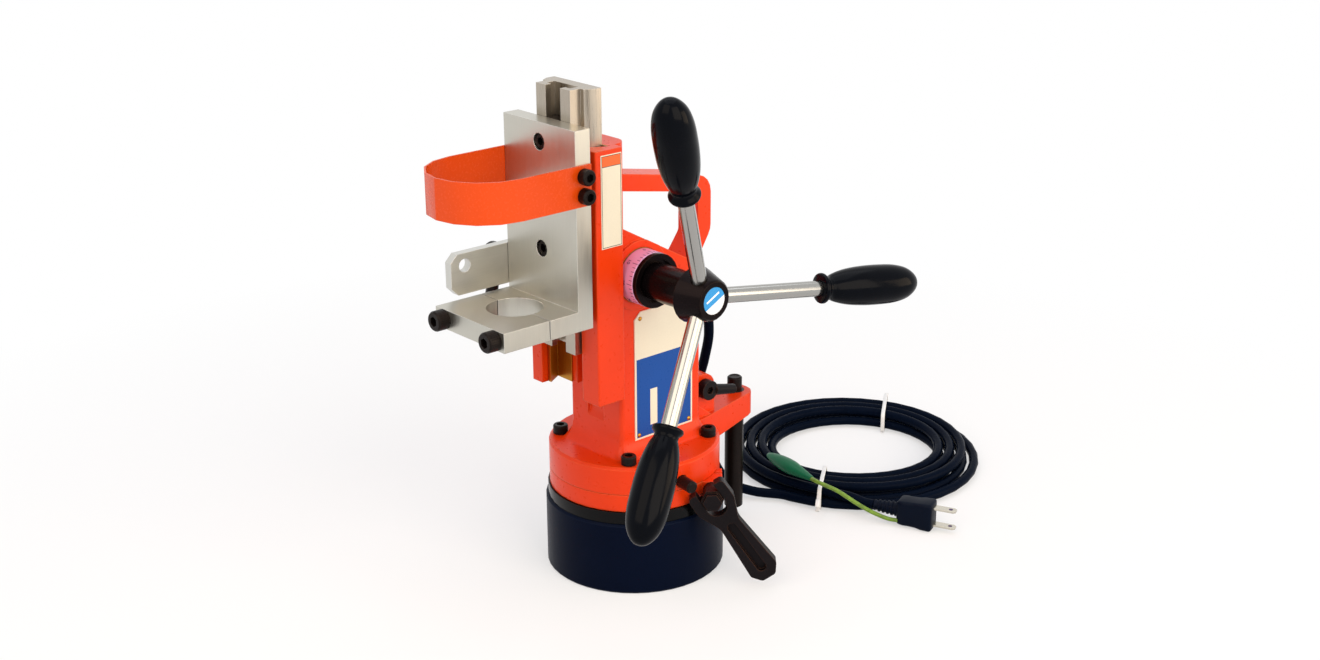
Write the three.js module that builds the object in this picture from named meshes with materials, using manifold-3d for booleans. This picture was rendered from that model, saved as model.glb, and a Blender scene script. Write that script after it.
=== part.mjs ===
// Magnetic-base drill stand: an electromagnet foot, a swivelling column with a dovetail guide,
// a slide with a clamp bracket for the drill, and a three-arm feed capstan.
// Millimetres, +Z up. The origin is the middle of the magnet's bottom face.
// The drill bracket faces -Y and the feed capstan's axis points along +X.
import * as THREE from 'three';
import { mergeVertices } from 'three/addons/utils/BufferGeometryUtils.js';
import Module from 'manifold-3d';

const wasm = await Module();
wasm.setup();

// Fits, cuts and facets
const seatGap = 0.25; // between fixed pieces that seat on each other
const runningGap = 0.3; // between pieces that turn or slide on each other
const cutOverrun = 1; // how far a cutting solid runs past the face that it opens
const weldDistance = 1e-4; // vertices nearer than this are one
const largeSides = 44;
const mediumSides = 24;
const smallSides = 12;
const cornerStep = Math.PI / 8; // turn of one facet of a rounded corner

// Electromagnet
const magnetRadius = 60;
const magnetHeight = 49.4;
const magnetEdge = 1.2;
const centrePoleRadius = 26;
const outerPoleWidth = 14;
const grooveDepth = 32;
const coilCoverThickness = 3;
const coilCoverRecess = 0.6;

// Swivel: black ring, hub with a trapping head, red split plate
const baseRingInset = 1.5; // of its rim from the magnet's
const baseRingThickness = 8.05;
const swivelPlateRadius = 57.3;
const swivelPlateThickness = 11.6;
const swivelPlateWall = 14; // from its rim to the bore round the hub's head
const hubHeadReach = 7; // of the trapping head past the neck
const hubHeadThickness = 5.8;
const hubBoltDepth = 16;

// Socket head screws: shank radius, head radius, head height, hexagon across flats
const m6 = { shank: 3, head: 5, height: 6, hexagon: 5 };
const m8 = { shank: 4, head: 6.5, height: 8, hexagon: 6 };
const m12 = { shank: 6, head: 9, height: 12, hexagon: 10 };
const socketDepthShare = 0.55; // of the head's height
const screwHoleGap = 0.3;

// Foot flange and lower column of the casting
const flangeThickness = 18.75;
const flangeEdge = 1.6;
const flangeScrewCount = 4;
const flangeScrewInset = 7.7; // from the flange's rim
const flangeScrewLength = 26;
const spotFaceRadius = 6.2;
const columnHalfWidth = 26;
const columnFrontY = -33;
const columnRearY = 36.2;
const columnCornerRadius = 3;
const columnFootRadius = 13; // concave fillet onto the flange
const columnFootSteps = 5;

// Sloping top of the column body, through this point, falling to the rear
const bodyTopY = -28.4;
const bodyTopAboveShaft = 31.4;
const bodyTopSlope = 0.56;

// Dovetail guide block and the spine behind it
const guideHalfWidth = 34;
const guideFrontY = -58;
const guideEarRearY = -36.4;
const guideBottomAboveFlange = 45.4;
const guideHeight = 164.5;
const spineRearY = -24.5;
const spineCornerRadius = 10;
const guideEdge = 1;

// Slide bar; its flanks lean 30 degrees from the front-to-rear direction
const slideLipHalfWidth = 16.4;
const slideLipFrontY = -62.3;
const slideShoulderY = -54.2;
const slideShoulderHalfWidth = 19.6;
const slideFlankRearY = -49;
const slideRearY = -43;
const slideLength = 169;
const slideBottomAboveGuide = 31;
const dovetailSlope = Math.tan(Math.PI / 6);
const slotHalfWidth = 7.1;
const teeHalfWidth = 11.6;
const teeFrontY = -58;
const teeRearY = -51.4;
const slideCorner = 3.2;

// Guide channel, brass gib and wear strips
const flankGap = 0.36; // across X, about 0.3 square to the flank
const gibThickness = 2.9; // across X
const gibFrontY = -53.2;
const stripThickness = 1.1;
const stripInnerX = 12.3;
const channelFloorY = -41.4;
const rackGrooveHalfWidth = 8;
const rackGrooveRearY = -31;
const rackGrooveBelowGuide = 18;
const rackGrooveEndRadius = 12;
const gibScrewRadius = 2.5;
const gibScrewHeadRadius = 4;
const gibScrewHeadLength = 4;
const gibScrewY = -46.5;
const gibScrewShares = [0.075, 0.5, 0.925]; // of the guide's height

// Feed shaft, pinion and rack
const shaftY = -17.85;
const shaftAboveGuide = 77.2;
const gearModule = 2;
const pinionTeeth = 16;
const pressureAngle = (20 * Math.PI) / 180;
const toothBacklash = 0.3;
const tipClearanceShare = 0.25; // of the module
const toothFlankShares = [0.3, 0.6, 1]; // from the base circle to the tip
const pinionHalfWidth = 8;
const pinionBoreRadius = 18.3;
const rackHalfWidth = 6.9;
const rackTeeth = 17;
const rackBottomAboveSlide = 3;
const shaftRadius = 7;
const shaftJournalRadius = 6;
const padX = 28;
const padRadius = 23;
const bushInnerX = 9.3;
const leftBushRadius = 10;
const bushCapRadius = 14;
const bushCapThickness = 4;

// Depth dial, sleeve and hub of the capstan, all along the shaft from the pad
const dialRingRadius = 17.7;
const dialRingWall = 2.4;
const dialRingLength = 12.3;
const collarFlangeThickness = 3.2;
const collarRecessRadius = 14;
const collarRecessDepth = 2.6;
const sleeveRadius = 12;
const sleeveEndRadius = 11.4;
const hubStartX = 77.4;
const hubEndX = 96.3;
const hubRearRadius = 18;
const hubFrontRadius = 13.2;
const hubEdge = 1.2;
const hubDiscRadius = 8.8; // shallow recess of the disc on the hub's front
const hubDiscDepth = 0.5;
const hubBoreEndX = 89.5;

// Capstan arms
const armCount = 3;
const armCrossX = 85.05;
const armTilt = (15 * Math.PI) / 180;
const armPhase = (-24.65 * Math.PI) / 180;
const armRodRadius = 5;
const armRodStart = 10;
const knobStart = 84.2;
const knobLength = 73.7;
const knobBoreDepth = 32;
const knobCollarRadius = 9.75;
const knobCollarEdge = 1;
const knobCollarEnd = 2.4;
const knobNeckRadius = 7.6;
const knobNeckStart = 4.4;
const knobNeckEnd = 7;
const knobBellyRadius = 13;
// along the handle, and of its belly's radius
const knobProfileShares = [
  [0.26, 0.9], [0.42, 0.98], [0.6, 1], [0.76, 0.95], [0.88, 0.78], [0.96, 0.48], [0.99, 0.22],
];
const knobSides = 18;

// Carry handle of the casting
const handleHalfWidth = 9.8;
const handleTopAboveShaft = 63.4; // top edge where it meets the spine
const handleTopSlope = 0.188;
const handleThickness = 11.2;
const handleRearY = 60;
const handleOuterRadius = 13;
const handleInnerRadius = 5;
const handleBendAboveShaft = 8.5;
const handleKneeAboveShaft = -5;
const handleRootAboveShaft = -28;
const handleSlantY = 50;

// Rear lug, jack and its lock
const lugTopAboveFlange = 7.4;
const lugThickness = 20;
const lugTipRise = 4;
const lugRootHalfWidth = 25;
const lugRootY = 40;
const jackY = 93;
const lugTipRadius = 10;
const lugTipShare = 1.02; // of that radius, for half the tip's width
const jackCapRadius = 5.2;
const jackCapHeight = 10;
const jackPostRadius = 6.6;
const jackFootClearance = 7;
const lockBossInnerX = 4;
const lockBossOuterX = 18;
const lockBossY = 46.5;
const lockBossAboveFlange = 26;
const lockBossRadius = 10;
const lockBossRoundShare = 0.98; // of that radius
const lockEyeRadius = 6.8;
const lockEyeThickness = 6.5;
const lockHandleRadius = 4;
const lockHandleLength = 21;
const lockHandleTaperShare = 0.85;
const lockHandleTilt = (13 * Math.PI) / 180;
const lockShankRadius = 3;

// Swivel clamp: a bolt along a chord of the split plate, and its forked lever
const clampAngle = (-42.2 * Math.PI) / 180; // of the bolt's outward direction
const clampChordInset = 5.8; // of the bolt from the swivel plate's rim
const clampLeverClearance = 1.3; // of the lever from that rim
const clampBossHalfWidth = 7;
const clampBossInset = 6;
const clampBoltShank = 3;
const clampBoltEnter = 13;
const clampSplitAt = 20;
const clampSplitWidth = 1.6;
const clampSleeveRadius = 6;
const clampSleeveLength = 8.7;
const clampCollarFlats = 13.2;
const clampForkThickness = 8;
const clampHeadFlats = 10.8;
const clampHeadHeight = 4;
const clampForkSlot = 13.8;
const clampForkWidth = 27;
const clampForkTip = 9;
const clampSlotEnd = 5;
const clampLeverLength = 67;
const clampForkCorner = 3;
const clampShoulderRadius = 8;
const clampNeckRadius = 10;
const clampSlotRoundShare = 0.488; // of the slot's width
const clampNeckWidth = 14;
const clampEndWidth = 20;
const clampEndCorner = 3;
const clampGrooveWidth = 6.4;
const clampGrooveDepth = 3.6;
const clampGrooveStart = 20;
const clampGrooveCorner = 3;
const clampLeverSwing = (34.4 * Math.PI) / 180; // from straight down

// Stop pin of the clamp lever, in the foot flange
const stopPinRadius = 4.2;
const stopPinLength = 12.7;
const stopPinDepth = 8;
const stopPinEdge = 1.2;
const stopPinAngle = (-8.4 * Math.PI) / 180;
const stopPinAboveFlangeBottom = 5.65;

// Drill bracket
const bracketHalfWidth = 34.8;
const bracketPlateThickness = 11.4;
const bracketBottomAboveSlide = 23.4;
const bracketHeight = 125.7;
const shelfThickness = 12.6;
const shelfFrontY = -130.8;
const shelfSplitY = -96.1;
const shelfHoleRadius = 17.8;
const bracketBoltRadius = 5.2;
const bracketBoltHoleRadius = 3.4;
const bracketBoltCounterbore = 7.4;
const bracketBoltShares = [0.365, 0.902]; // of the bracket's height
const clampScrewX = 26;
const clampScrewReach = 20;

// Guard strap
const strapThickness = 1.2;
const strapWidth = 25.5;
const strapBottomAboveBracket = 79.1;
const strapCentreY = -115;
const guardScrewY = -69;
const guardScrewSpacing = 12;
const guardScrewReach = 8;
const strapBendShare = 0.999; // of the strap's half-width, for the radius of its bend

// Side arm and the clamping lever whose stud it turns on
const sideArmThickness = 6;
const sideArmHeight = 26.6;
const sideArmPivotY = -68.3;
const sideArmPivotAboveBracket = 28.1;
const sideArmFrontReach = 49.7;
const sideArmRearReach = 5.1;
const sideArmPivotShare = 0.49; // of the arm's height, from its bottom edge
const sideArmCorner = 5;
const sideArmHoleRadius = 4.5;
const sideArmHoleReach = 39.2;
const sideArmHoleRise = 5.6;
const armStudRadius = 4;
const armStudLength = 20;
const armLeverHubRadius = 7.7;
const armLeverHubLength = 19;
const armLeverRootInset = 6; // of the lever's root from the hub's outer end
const armLeverRootRadius = 3.3;
const armLeverEndRadius = 4.6;
const armLeverLength = 46;
const armLeverLean = (15 * Math.PI) / 180; // outward, from straight down

// Magnet switch on the left side of the column
const switchY = 2;
const switchAboveFlange = 66;
const switchBezelWidth = 28;
const switchBezelHeight = 38;
const switchBezelThickness = 3;
const rockerWidth = 18;
const rockerHeight = 26;
const rockerRise = 5;
const rockerDepth = 9;
const rockerHeelInset = 2; // of the rocker's heel from the bottom of its well
const rockerHeelShare = 0.8; // of half the rocker's height

// Mains cord, its gland, ties, plug and earth clip
const cordRadius = 3.5;
const cordSides = 8;
const glandX = -6;
const glandAboveFlange = 79.4;
const glandFlangeRadius = 9;
const glandFlangeLength = 4;
const glandTaperLength = 14;
const glandTaperRadius = 5.4;
const glandTaperGrowth = 1; // towards the flange
const glandPlugRadius = 6;
const glandPlugDepth = 8;
const leadSteps = 24;
const tailSteps = 12;
const coilCentre = { x: -8.3, y: 227.7 };
const coilOuterRadius = 95.5;
const coilInnerRadius = 62;
const coilPitch = 8.6; // between neighbouring loops of one layer
const coilLayerRise = 7.7;
const coilLift = 1.6; // of the lowest loops over the floor, on the ties
const coilEntryAngle = (-75 * Math.PI) / 180;
const coilTurns = 7.01;
const coilClimbTurns = 0.25; // on either side of the place where the spiral reverses
const coilStepsPerLoop = 24;
const coilSides = 6;
const tieThickness = 1;
const tieWidth = 3;
const tieFloorGap = 0.3;
const tiePlaces = {
  rear: { angle: (113.5 * Math.PI) / 180, slant: (15 * Math.PI) / 180 },
  front: { angle: (-64 * Math.PI) / 180, slant: (12 * Math.PI) / 180 },
};
const tieTailLength = 16;
const tieTailRadius = 1.3;
const plugPlace = { x: 102.3, y: 173.7, z: 10.9 };
const plugHeading = (23 * Math.PI) / 180;
const plugLength = 26;
const plugWidth = 21;
const plugThickness = 15;
const plugCorner = 3;
const plugTaperShare = 0.88; // of the width, at the cord's end
const plugNeckLength = 18;
const plugNeckRadius = 5.5;
const bladePitch = 12.7;
const bladeLength = 16;
const bladeWidth = 6.3;
const bladeThickness = 1.5;
const bladeHoleRadius = 1.5;
const bladeHoleInset = 4;
const earthWireRadius = 1.5;
const earthWireSteps = 16;
const earthWirePlace = 6; // from the plug's middle, downward and sideways
const earthClipLength = 52;
const earthClipRadius = 6;
// along half the boot, and of its radius
const earthClipProfileShares = [[-1, 0.5], [-0.6, 0.62], [-0.1, 1], [0.3, 1], [0.8, 0.6], [1, 0.35]];
const earthClipPlace = { x: 7, y: 143, z: 24 };
const earthClipHeading = (172 * Math.PI) / 180;

// Radii, heights and places that follow
const baseRingRadius = magnetRadius - baseRingInset;
const hubHeadRadius = swivelPlateRadius - swivelPlateWall - runningGap;
const hubNeckRadius = hubHeadRadius - hubHeadReach;
const flangeRadius = swivelPlateRadius;
const flangeScrewCircle = flangeRadius - flangeScrewInset;
const clampChord = swivelPlateRadius - clampChordInset;
const clampBossEnd = Math.sqrt(swivelPlateRadius ** 2 - (clampChord - clampForkWidth / 2) ** 2)
  + clampLeverClearance - clampSleeveLength;
const baseRingBottomZ = magnetHeight + seatGap;
const baseRingTopZ = baseRingBottomZ + baseRingThickness;
const swivelPlateBottomZ = baseRingTopZ + runningGap;
const swivelPlateTopZ = swivelPlateBottomZ + swivelPlateThickness;
const flangeBottomZ = swivelPlateTopZ + seatGap;
const flangeTopZ = flangeBottomZ + flangeThickness;
const hubTopZ = swivelPlateTopZ - 2 * runningGap;
const hubHeadBottomZ = hubTopZ - hubHeadThickness;
const guideBottomZ = flangeTopZ + guideBottomAboveFlange;
const guideTopZ = guideBottomZ + guideHeight;
const shaftZ = guideBottomZ + shaftAboveGuide;
const slideBottomZ = guideBottomZ + slideBottomAboveGuide;
const bracketBottomZ = slideBottomZ + bracketBottomAboveSlide;
const bracketTopZ = bracketBottomZ + bracketHeight;
const bracketRearY = slideLipFrontY - seatGap;
const bracketFrontY = bracketRearY - bracketPlateThickness;
const lugTopZ = flangeTopZ + lugTopAboveFlange;
const clampZ = swivelPlateBottomZ + swivelPlateThickness / 2;
const stopPinZ = flangeBottomZ + stopPinAboveFlangeBottom;
const rackRearY = shaftY - (gearModule * pinionTeeth) / 2;

// Finishes, with colours as seen in daylight
const finish = (color, roughness, metalness = 0) =>
  new THREE.MeshStandardMaterial({ color, roughness, metalness });
const redPaint = finish(0xe8401f, 0.35);
const magnetBlack = finish(0x0b1626, 0.45, 0.3);
const glossBlack = finish(0x0a0a0c, 0.15);
const blackOxide = finish(0x1a1715, 0.5, 0.6);
const steel = finish(0x9b9690, 0.4, 0.9);
const darkSteel = finish(0x4c4a48, 0.45, 0.8);
const chrome = finish(0xd5d8da, 0.12, 1);
const aluminium = finish(0xc9cdd0, 0.35, 0.9);
const brass = finish(0xb98a35, 0.35, 0.9);
const bronze = finish(0x9c6b35, 0.45, 0.8);
const copper = finish(0xa0522d, 0.4, 0.8);
const phenolic = finish(0x0d0d10, 0.2);
const rubber = finish(0x141518, 0.55);
const dialPink = finish(0xe79ac6, 0.4);
const earthGreen = finish(0x0f8f5a, 0.45);
const tieWhite = finish(0xf2f2f0, 0.5);

// Welds a geometry's vertices and makes it a solid that can be cut and joined
function solidFrom(geometry) {
  const bare = new THREE.BufferGeometry();
  bare.setAttribute('position', geometry.getAttribute('position'));
  if (geometry.index) bare.setIndex(geometry.index);
  const welded = mergeVertices(bare, weldDistance);
  const corners = welded.index.array;
  const kept = [];
  for (let i = 0; i < corners.length; i += 3) {
    const [a, b, c] = [corners[i], corners[i + 1], corners[i + 2]];
    if (a !== b && b !== c && c !== a) kept.push(a, b, c);
  }
  return new wasm.Manifold(new wasm.Mesh({
    numProp: 3,
    vertProperties: new Float32Array(welded.getAttribute('position').array),
    triVerts: new Uint32Array(kept),
  }));
}

// Turns a solid back into a geometry for a mesh
function geometryFrom(solid) {
  const { vertProperties, triVerts, numProp } = solid.getMesh();
  const positions = new Float32Array((vertProperties.length / numProp) * 3);
  for (let i = 0; i < positions.length / 3; i += 1) {
    for (let axis = 0; axis < 3; axis += 1) {
      positions[3 * i + axis] = vertProperties[numProp * i + axis];
    }
  }
  const geometry = new THREE.BufferGeometry();
  geometry.setAttribute('position', new THREE.BufferAttribute(positions, 3));
  geometry.setIndex(new THREE.BufferAttribute(new Uint32Array(triVerts), 1));
  geometry.computeVertexNormals();
  return geometry;
}

const joined = (first, ...others) => others.reduce((sum, other) => sum.add(other), first);
const cut = (first, ...tools) => tools.reduce((rest, tool) => rest.subtract(tool), first);

// A named mesh in a group, from a solid or a geometry
function addPiece(group, name, shape, material) {
  const geometry = shape.isBufferGeometry ? shape : geometryFrom(shape);
  const mesh = new THREE.Mesh(geometry, material);
  mesh.name = name;
  group.add(mesh);
  return mesh;
}

// Rotations that take a shape drawn in (x, y) and raised along z to the object's planes
const alongX = new THREE.Matrix4().makeBasis(
  new THREE.Vector3(0, 1, 0), new THREE.Vector3(0, 0, 1), new THREE.Vector3(1, 0, 0),
);
const alongY = new THREE.Matrix4().makeBasis(
  new THREE.Vector3(0, 0, 1), new THREE.Vector3(1, 0, 0), new THREE.Vector3(0, 1, 0),
);
const alongZ = new THREE.Matrix4();

// Outline from corners [u, v, radius]; a corner with a radius is rounded by short facets
function outlinePoints(corners) {
  const points = [];
  corners.forEach(([u, v, radius = 0], i) => {
    const corner = new THREE.Vector2(u, v);
    if (radius === 0) {
      points.push(corner);
      return;
    }
    const [beforeU, beforeV] = corners[(i + corners.length - 1) % corners.length];
    const [afterU, afterV] = corners[(i + 1) % corners.length];
    const back = new THREE.Vector2(beforeU, beforeV).sub(corner).normalize();
    const ahead = new THREE.Vector2(afterU, afterV).sub(corner).normalize();
    const half = Math.acos(THREE.MathUtils.clamp(back.dot(ahead), -1, 1)) / 2;
    const middle = back.clone().add(ahead).normalize();
    const centre = corner.clone().addScaledVector(middle, radius / Math.sin(half));
    const from = corner.clone().addScaledVector(back, radius / Math.tan(half)).sub(centre);
    const to = corner.clone().addScaledVector(ahead, radius / Math.tan(half)).sub(centre);
    const turn = Math.atan2(from.cross(to), from.dot(to));
    const steps = Math.max(2, Math.round(Math.abs(turn) / cornerStep));
    for (let k = 0; k <= steps; k += 1) {
      points.push(centre.clone().add(from.clone().rotateAround(new THREE.Vector2(), (turn * k) / steps)));
    }
  });
  return points;
}

// Solid with a constant section: an outline raised from one place to another along an axis
function extruded(axes, corners, from, to) {
  const shape = new THREE.Shape(outlinePoints(corners));
  const geometry = new THREE.ExtrudeGeometry(shape, { depth: to - from, bevelEnabled: false });
  geometry.translate(0, 0, from);
  geometry.applyMatrix4(axes);
  return solidFrom(geometry);
}

const rectangle = (u0, u1, v0, v1, radius = 0) => [
  [u0, v0, radius], [u1, v0, radius], [u1, v1, radius], [u0, v1, radius],
];

const block = (x0, x1, y0, y1, z0, z1, radius = 0) =>
  extruded(alongZ, rectangle(x0, x1, y0, y1, radius), z0, z1);

// Round bar along an axis; (u, v) is its centre in the plane across that axis
function bar(axes, radius, from, to, u = 0, v = 0, sides = smallSides) {
  const geometry = new THREE.CylinderGeometry(radius, radius, to - from, sides);
  geometry.rotateX(Math.PI / 2);
  geometry.translate(u, v, (from + to) / 2);
  geometry.applyMatrix4(axes);
  return solidFrom(geometry);
}

// Solid of revolution about an axis from [radius, along] points, closed on the axis or on itself
function revolved(axes, profile, sides = mediumSides, u = 0, v = 0) {
  const points = profile.map(([radius, along]) => new THREE.Vector2(radius, along));
  if (THREE.ShapeUtils.area(points) < 0) points.reverse();
  if (points.some((point) => point.x > 0) && points[0].x > 0) points.push(points[0].clone());
  const geometry = new THREE.LatheGeometry(points, sides);
  geometry.rotateX(Math.PI / 2);
  geometry.translate(u, v, 0);
  geometry.applyMatrix4(axes);
  return solidFrom(geometry);
}

// Skin through rings of equally many points, closed at both ends
function lofted(rings) {
  const count = rings[0].length;
  const positions = rings.flat().flatMap((point) => [point.x, point.y, point.z]);
  const index = [];
  for (let ring = 0; ring < rings.length - 1; ring += 1) {
    for (let i = 0; i < count; i += 1) {
      const a = ring * count + i;
      const b = ring * count + ((i + 1) % count);
      index.push(a, b, b + count, a, b + count, a + count);
    }
  }
  const flat = rings[0].map((point) => new THREE.Vector2(point.x, point.y));
  const last = (rings.length - 1) * count;
  THREE.ShapeUtils.triangulateShape(flat, []).forEach(([a, b, c]) => {
    index.push(a, c, b, last + a, last + b, last + c);
  });
  const geometry = new THREE.BufferGeometry();
  geometry.setAttribute('position', new THREE.Float32BufferAttribute(positions, 3));
  geometry.setIndex(index);
  return solidFrom(geometry);
}

const regularCorners = (sides, radius, turn = 0) => Array.from({ length: sides }, (_, i) => {
  const angle = turn + (2 * Math.PI * i) / sides;
  return [radius * Math.cos(angle), radius * Math.sin(angle)];
});

const hexagonCorners = (acrossFlats, turn = 0) =>
  regularCorners(6, acrossFlats / Math.sqrt(3), turn);

// Socket head screw along an axis: the head stands at `seat` and points to `outward`
function socketScrew(axes, size, seat, outward, length, u, v) {
  const top = seat + outward * size.height;
  const span = (a, b) => [Math.min(a, b), Math.max(a, b)];
  const socketFloor = top - outward * size.height * socketDepthShare;
  const socket = hexagonCorners(size.hexagon).map(([a, b]) => [a + u, b + v]);
  const head = bar(axes, size.head, ...span(seat, top), u, v);
  const shank = bar(axes, size.shank, ...span(seat + outward * size.height * socketDepthShare / 2,
    seat - outward * length), u, v);
  return cut(joined(head, shank), extruded(axes, socket, ...span(socketFloor, top + outward * cutOverrun)));
}

// Rounded end of a turned profile, from its full radius to the axis
const roundedEnd = (radius, end) => [0, 1, 2, 3].map((step) => {
  const angle = (step * Math.PI) / 6;
  return [radius * Math.cos(angle), end - radius * (1 - Math.sin(angle))];
});

// Electromagnet with its coil, then the ring and the hub that the column swivels on
function buildBase(group) {
  const grooveOuter = magnetRadius - outerPoleWidth;
  const boltHole = bar(alongZ, m12.shank + screwHoleGap, magnetHeight - hubBoltDepth, hubTopZ + cutOverrun);
  const magnet = revolved(alongZ, [
    [0, 0], [centrePoleRadius, 0], [centrePoleRadius, grooveDepth], [grooveOuter, grooveDepth],
    [grooveOuter, 0], [magnetRadius - magnetEdge, 0], [magnetRadius, magnetEdge],
    [magnetRadius, magnetHeight - magnetEdge], [magnetRadius - magnetEdge, magnetHeight],
    [0, magnetHeight],
  ], largeSides);
  addPiece(group, 'magnet_body', cut(magnet, boltHole), magnetBlack);
  const ringSection = (inner, outer, low, high) => [[inner, low], [outer, low], [outer, high], [inner, high]];
  const coverTop = coilCoverRecess + coilCoverThickness;
  addPiece(group, 'coil_cover', revolved(alongZ, ringSection(centrePoleRadius + seatGap,
    grooveOuter - seatGap, coilCoverRecess, coverTop)), brass);
  addPiece(group, 'magnet_coil', revolved(alongZ, ringSection(centrePoleRadius + seatGap,
    grooveOuter - seatGap, coverTop + seatGap, grooveDepth - seatGap)), copper);
  addPiece(group, 'base_ring', revolved(alongZ, ringSection(hubNeckRadius + seatGap, baseRingRadius,
    baseRingBottomZ, baseRingTopZ), largeSides), glossBlack);
  const hub = revolved(alongZ, [
    [0, baseRingBottomZ], [hubNeckRadius, baseRingBottomZ], [hubNeckRadius, hubHeadBottomZ],
    [hubHeadRadius, hubHeadBottomZ], [hubHeadRadius, hubTopZ], [0, hubTopZ],
  ], largeSides);
  const boltSeatZ = hubTopZ - m12.height - seatGap;
  const counterbore = bar(alongZ, m12.head + screwHoleGap, boltSeatZ - seatGap, hubTopZ + cutOverrun);
  addPiece(group, 'swivel_hub', cut(hub, boltHole, counterbore), steel);
  const boltLength = boltSeatZ - magnetHeight + hubBoltDepth - seatGap;
  addPiece(group, 'hub_bolt', socketScrew(alongZ, m12, boltSeatZ, 1, boltLength, 0, 0), blackOxide);
}

// Places on the swivel clamp's bolt: along its outward direction and along the chord's normal
const clampOut = new THREE.Vector3(Math.cos(clampAngle), Math.sin(clampAngle), 0);
const clampSide = new THREE.Vector3(-Math.sin(clampAngle), Math.cos(clampAngle), 0);
const clampAxes = new THREE.Matrix4().makeBasis(clampSide, new THREE.Vector3(0, 0, 1), clampOut);

function buildSwivelPlate(group) {
  const headBore = hubHeadRadius + runningGap;
  const neckBore = hubNeckRadius + runningGap;
  const stepZ = hubHeadBottomZ - runningGap;
  const plate = revolved(alongZ, [
    [neckBore, swivelPlateBottomZ], [swivelPlateRadius, swivelPlateBottomZ],
    [swivelPlateRadius, swivelPlateTopZ], [headBore, swivelPlateTopZ], [headBore, stepZ],
    [neckBore, stepZ],
  ], largeSides);
  const bossCorners = rectangle(clampChord - clampBossHalfWidth, clampChord + clampBossHalfWidth,
    swivelPlateBottomZ, swivelPlateTopZ);
  const boss = extruded(clampAxes, bossCorners, clampSplitAt - clampBossInset, clampBossEnd);
  const boltHole = bar(clampAxes, clampBoltShank + screwHoleGap, clampBoltEnter - screwHoleGap,
    clampBossEnd + cutOverrun, clampChord, clampZ);
  const splitSection = rectangle(clampChord - swivelPlateRadius / 2, clampChord + clampBossHalfWidth + cutOverrun,
    swivelPlateBottomZ - cutOverrun, swivelPlateTopZ + cutOverrun);
  const split = extruded(clampAxes, splitSection, clampSplitAt, clampSplitAt + clampSplitWidth);
  const screwHoles = flangeScrewPlaces.map(([x, y]) =>
    bar(alongZ, m6.shank + screwHoleGap, swivelPlateBottomZ - cutOverrun, swivelPlateTopZ + cutOverrun, x, y));
  addPiece(group, 'swivel_plate', cut(joined(plate, boss), boltHole, split, ...screwHoles), redPaint);
}

// Rings of the column's plan outline, grown outward by the concave fillet at its foot
function columnFoot() {
  const rings = [];
  for (let i = 0; i <= columnFootSteps; i += 1) {
    const angle = (Math.PI / 2) * (i / columnFootSteps);
    const growth = columnFootRadius * (1 - Math.sin(angle));
    const z = flangeTopZ - flangeEdge + (columnFootRadius + flangeEdge) * (1 - Math.cos(angle));
    const corners = rectangle(-columnHalfWidth - growth, columnHalfWidth + growth,
      columnFrontY - growth, columnRearY + growth, columnCornerRadius + growth);
    rings.push(outlinePoints(corners).map((point) => new THREE.Vector3(point.x, point.y, z)));
  }
  return lofted(rings);
}

const bodyTopAt = (y) => shaftZ + bodyTopAboveShaft - bodyTopSlope * (y - bodyTopY);

function columnBody() {
  const side = extruded(alongX, [
    [columnFrontY, flangeBottomZ + flangeEdge], [columnRearY, flangeBottomZ + flangeEdge],
    [columnRearY, bodyTopAt(columnRearY)], [columnFrontY, bodyTopAt(columnFrontY)],
  ], -columnHalfWidth, columnHalfWidth);
  const plan = block(-columnHalfWidth, columnHalfWidth, columnFrontY, columnRearY,
    flangeBottomZ, guideTopZ, columnCornerRadius);
  return side.intersect(plan);
}

// Plan outline of the slide's right flank at a given depth, and the channel beside it
const slideFlankX = (y) => slideShoulderHalfWidth + dovetailSlope * (y - slideShoulderY);
const channelRightX = (y) => slideFlankX(y) + flankGap;
const channelLeftX = (y) => -slideFlankX(y) - flankGap - gibThickness - seatGap;

function guideBlock() {
  const ears = block(-guideHalfWidth, guideHalfWidth, guideFrontY, guideEarRearY,
    guideBottomZ, guideTopZ, guideEdge);
  const spineBottomZ = bodyTopAt(spineRearY) - spineCornerRadius;
  const spine = extruded(alongZ, [
    [-columnHalfWidth, guideEarRearY - guideEdge], [columnHalfWidth, guideEarRearY - guideEdge],
    [columnHalfWidth, spineRearY, spineCornerRadius], [-columnHalfWidth, spineRearY, spineCornerRadius],
  ], spineBottomZ, guideTopZ);
  const bridge = block(-columnHalfWidth, columnHalfWidth, guideEarRearY - guideEdge,
    columnFrontY + columnCornerRadius, guideBottomZ, bodyTopAt(columnFrontY));
  return joined(ears, spine, bridge);
}

function guideChannel() {
  const lowZ = guideBottomZ - cutOverrun;
  const highZ = guideTopZ + cutOverrun;
  const openFrontY = guideFrontY - cutOverrun;
  const gibOuterFrontX = channelLeftX(gibFrontY);
  const dovetail = extruded(alongZ, [
    [gibOuterFrontX, openFrontY], [channelRightX(guideFrontY), openFrontY],
    [channelRightX(guideFrontY), guideFrontY], [channelRightX(channelFloorY), channelFloorY],
    [channelLeftX(channelFloorY), channelFloorY], [gibOuterFrontX, gibFrontY - seatGap],
  ], lowZ, highZ);
  const grooveEndZ = guideBottomZ - rackGrooveBelowGuide;
  const grooveRun = block(-rackGrooveHalfWidth, rackGrooveHalfWidth, openFrontY, rackGrooveRearY,
    grooveEndZ, highZ);
  const runOut = bar(alongX, rackGrooveEndRadius, -rackGrooveHalfWidth, rackGrooveHalfWidth,
    rackGrooveRearY - rackGrooveEndRadius, grooveEndZ, mediumSides);
  return joined(dovetail, grooveRun, runOut);
}

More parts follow.
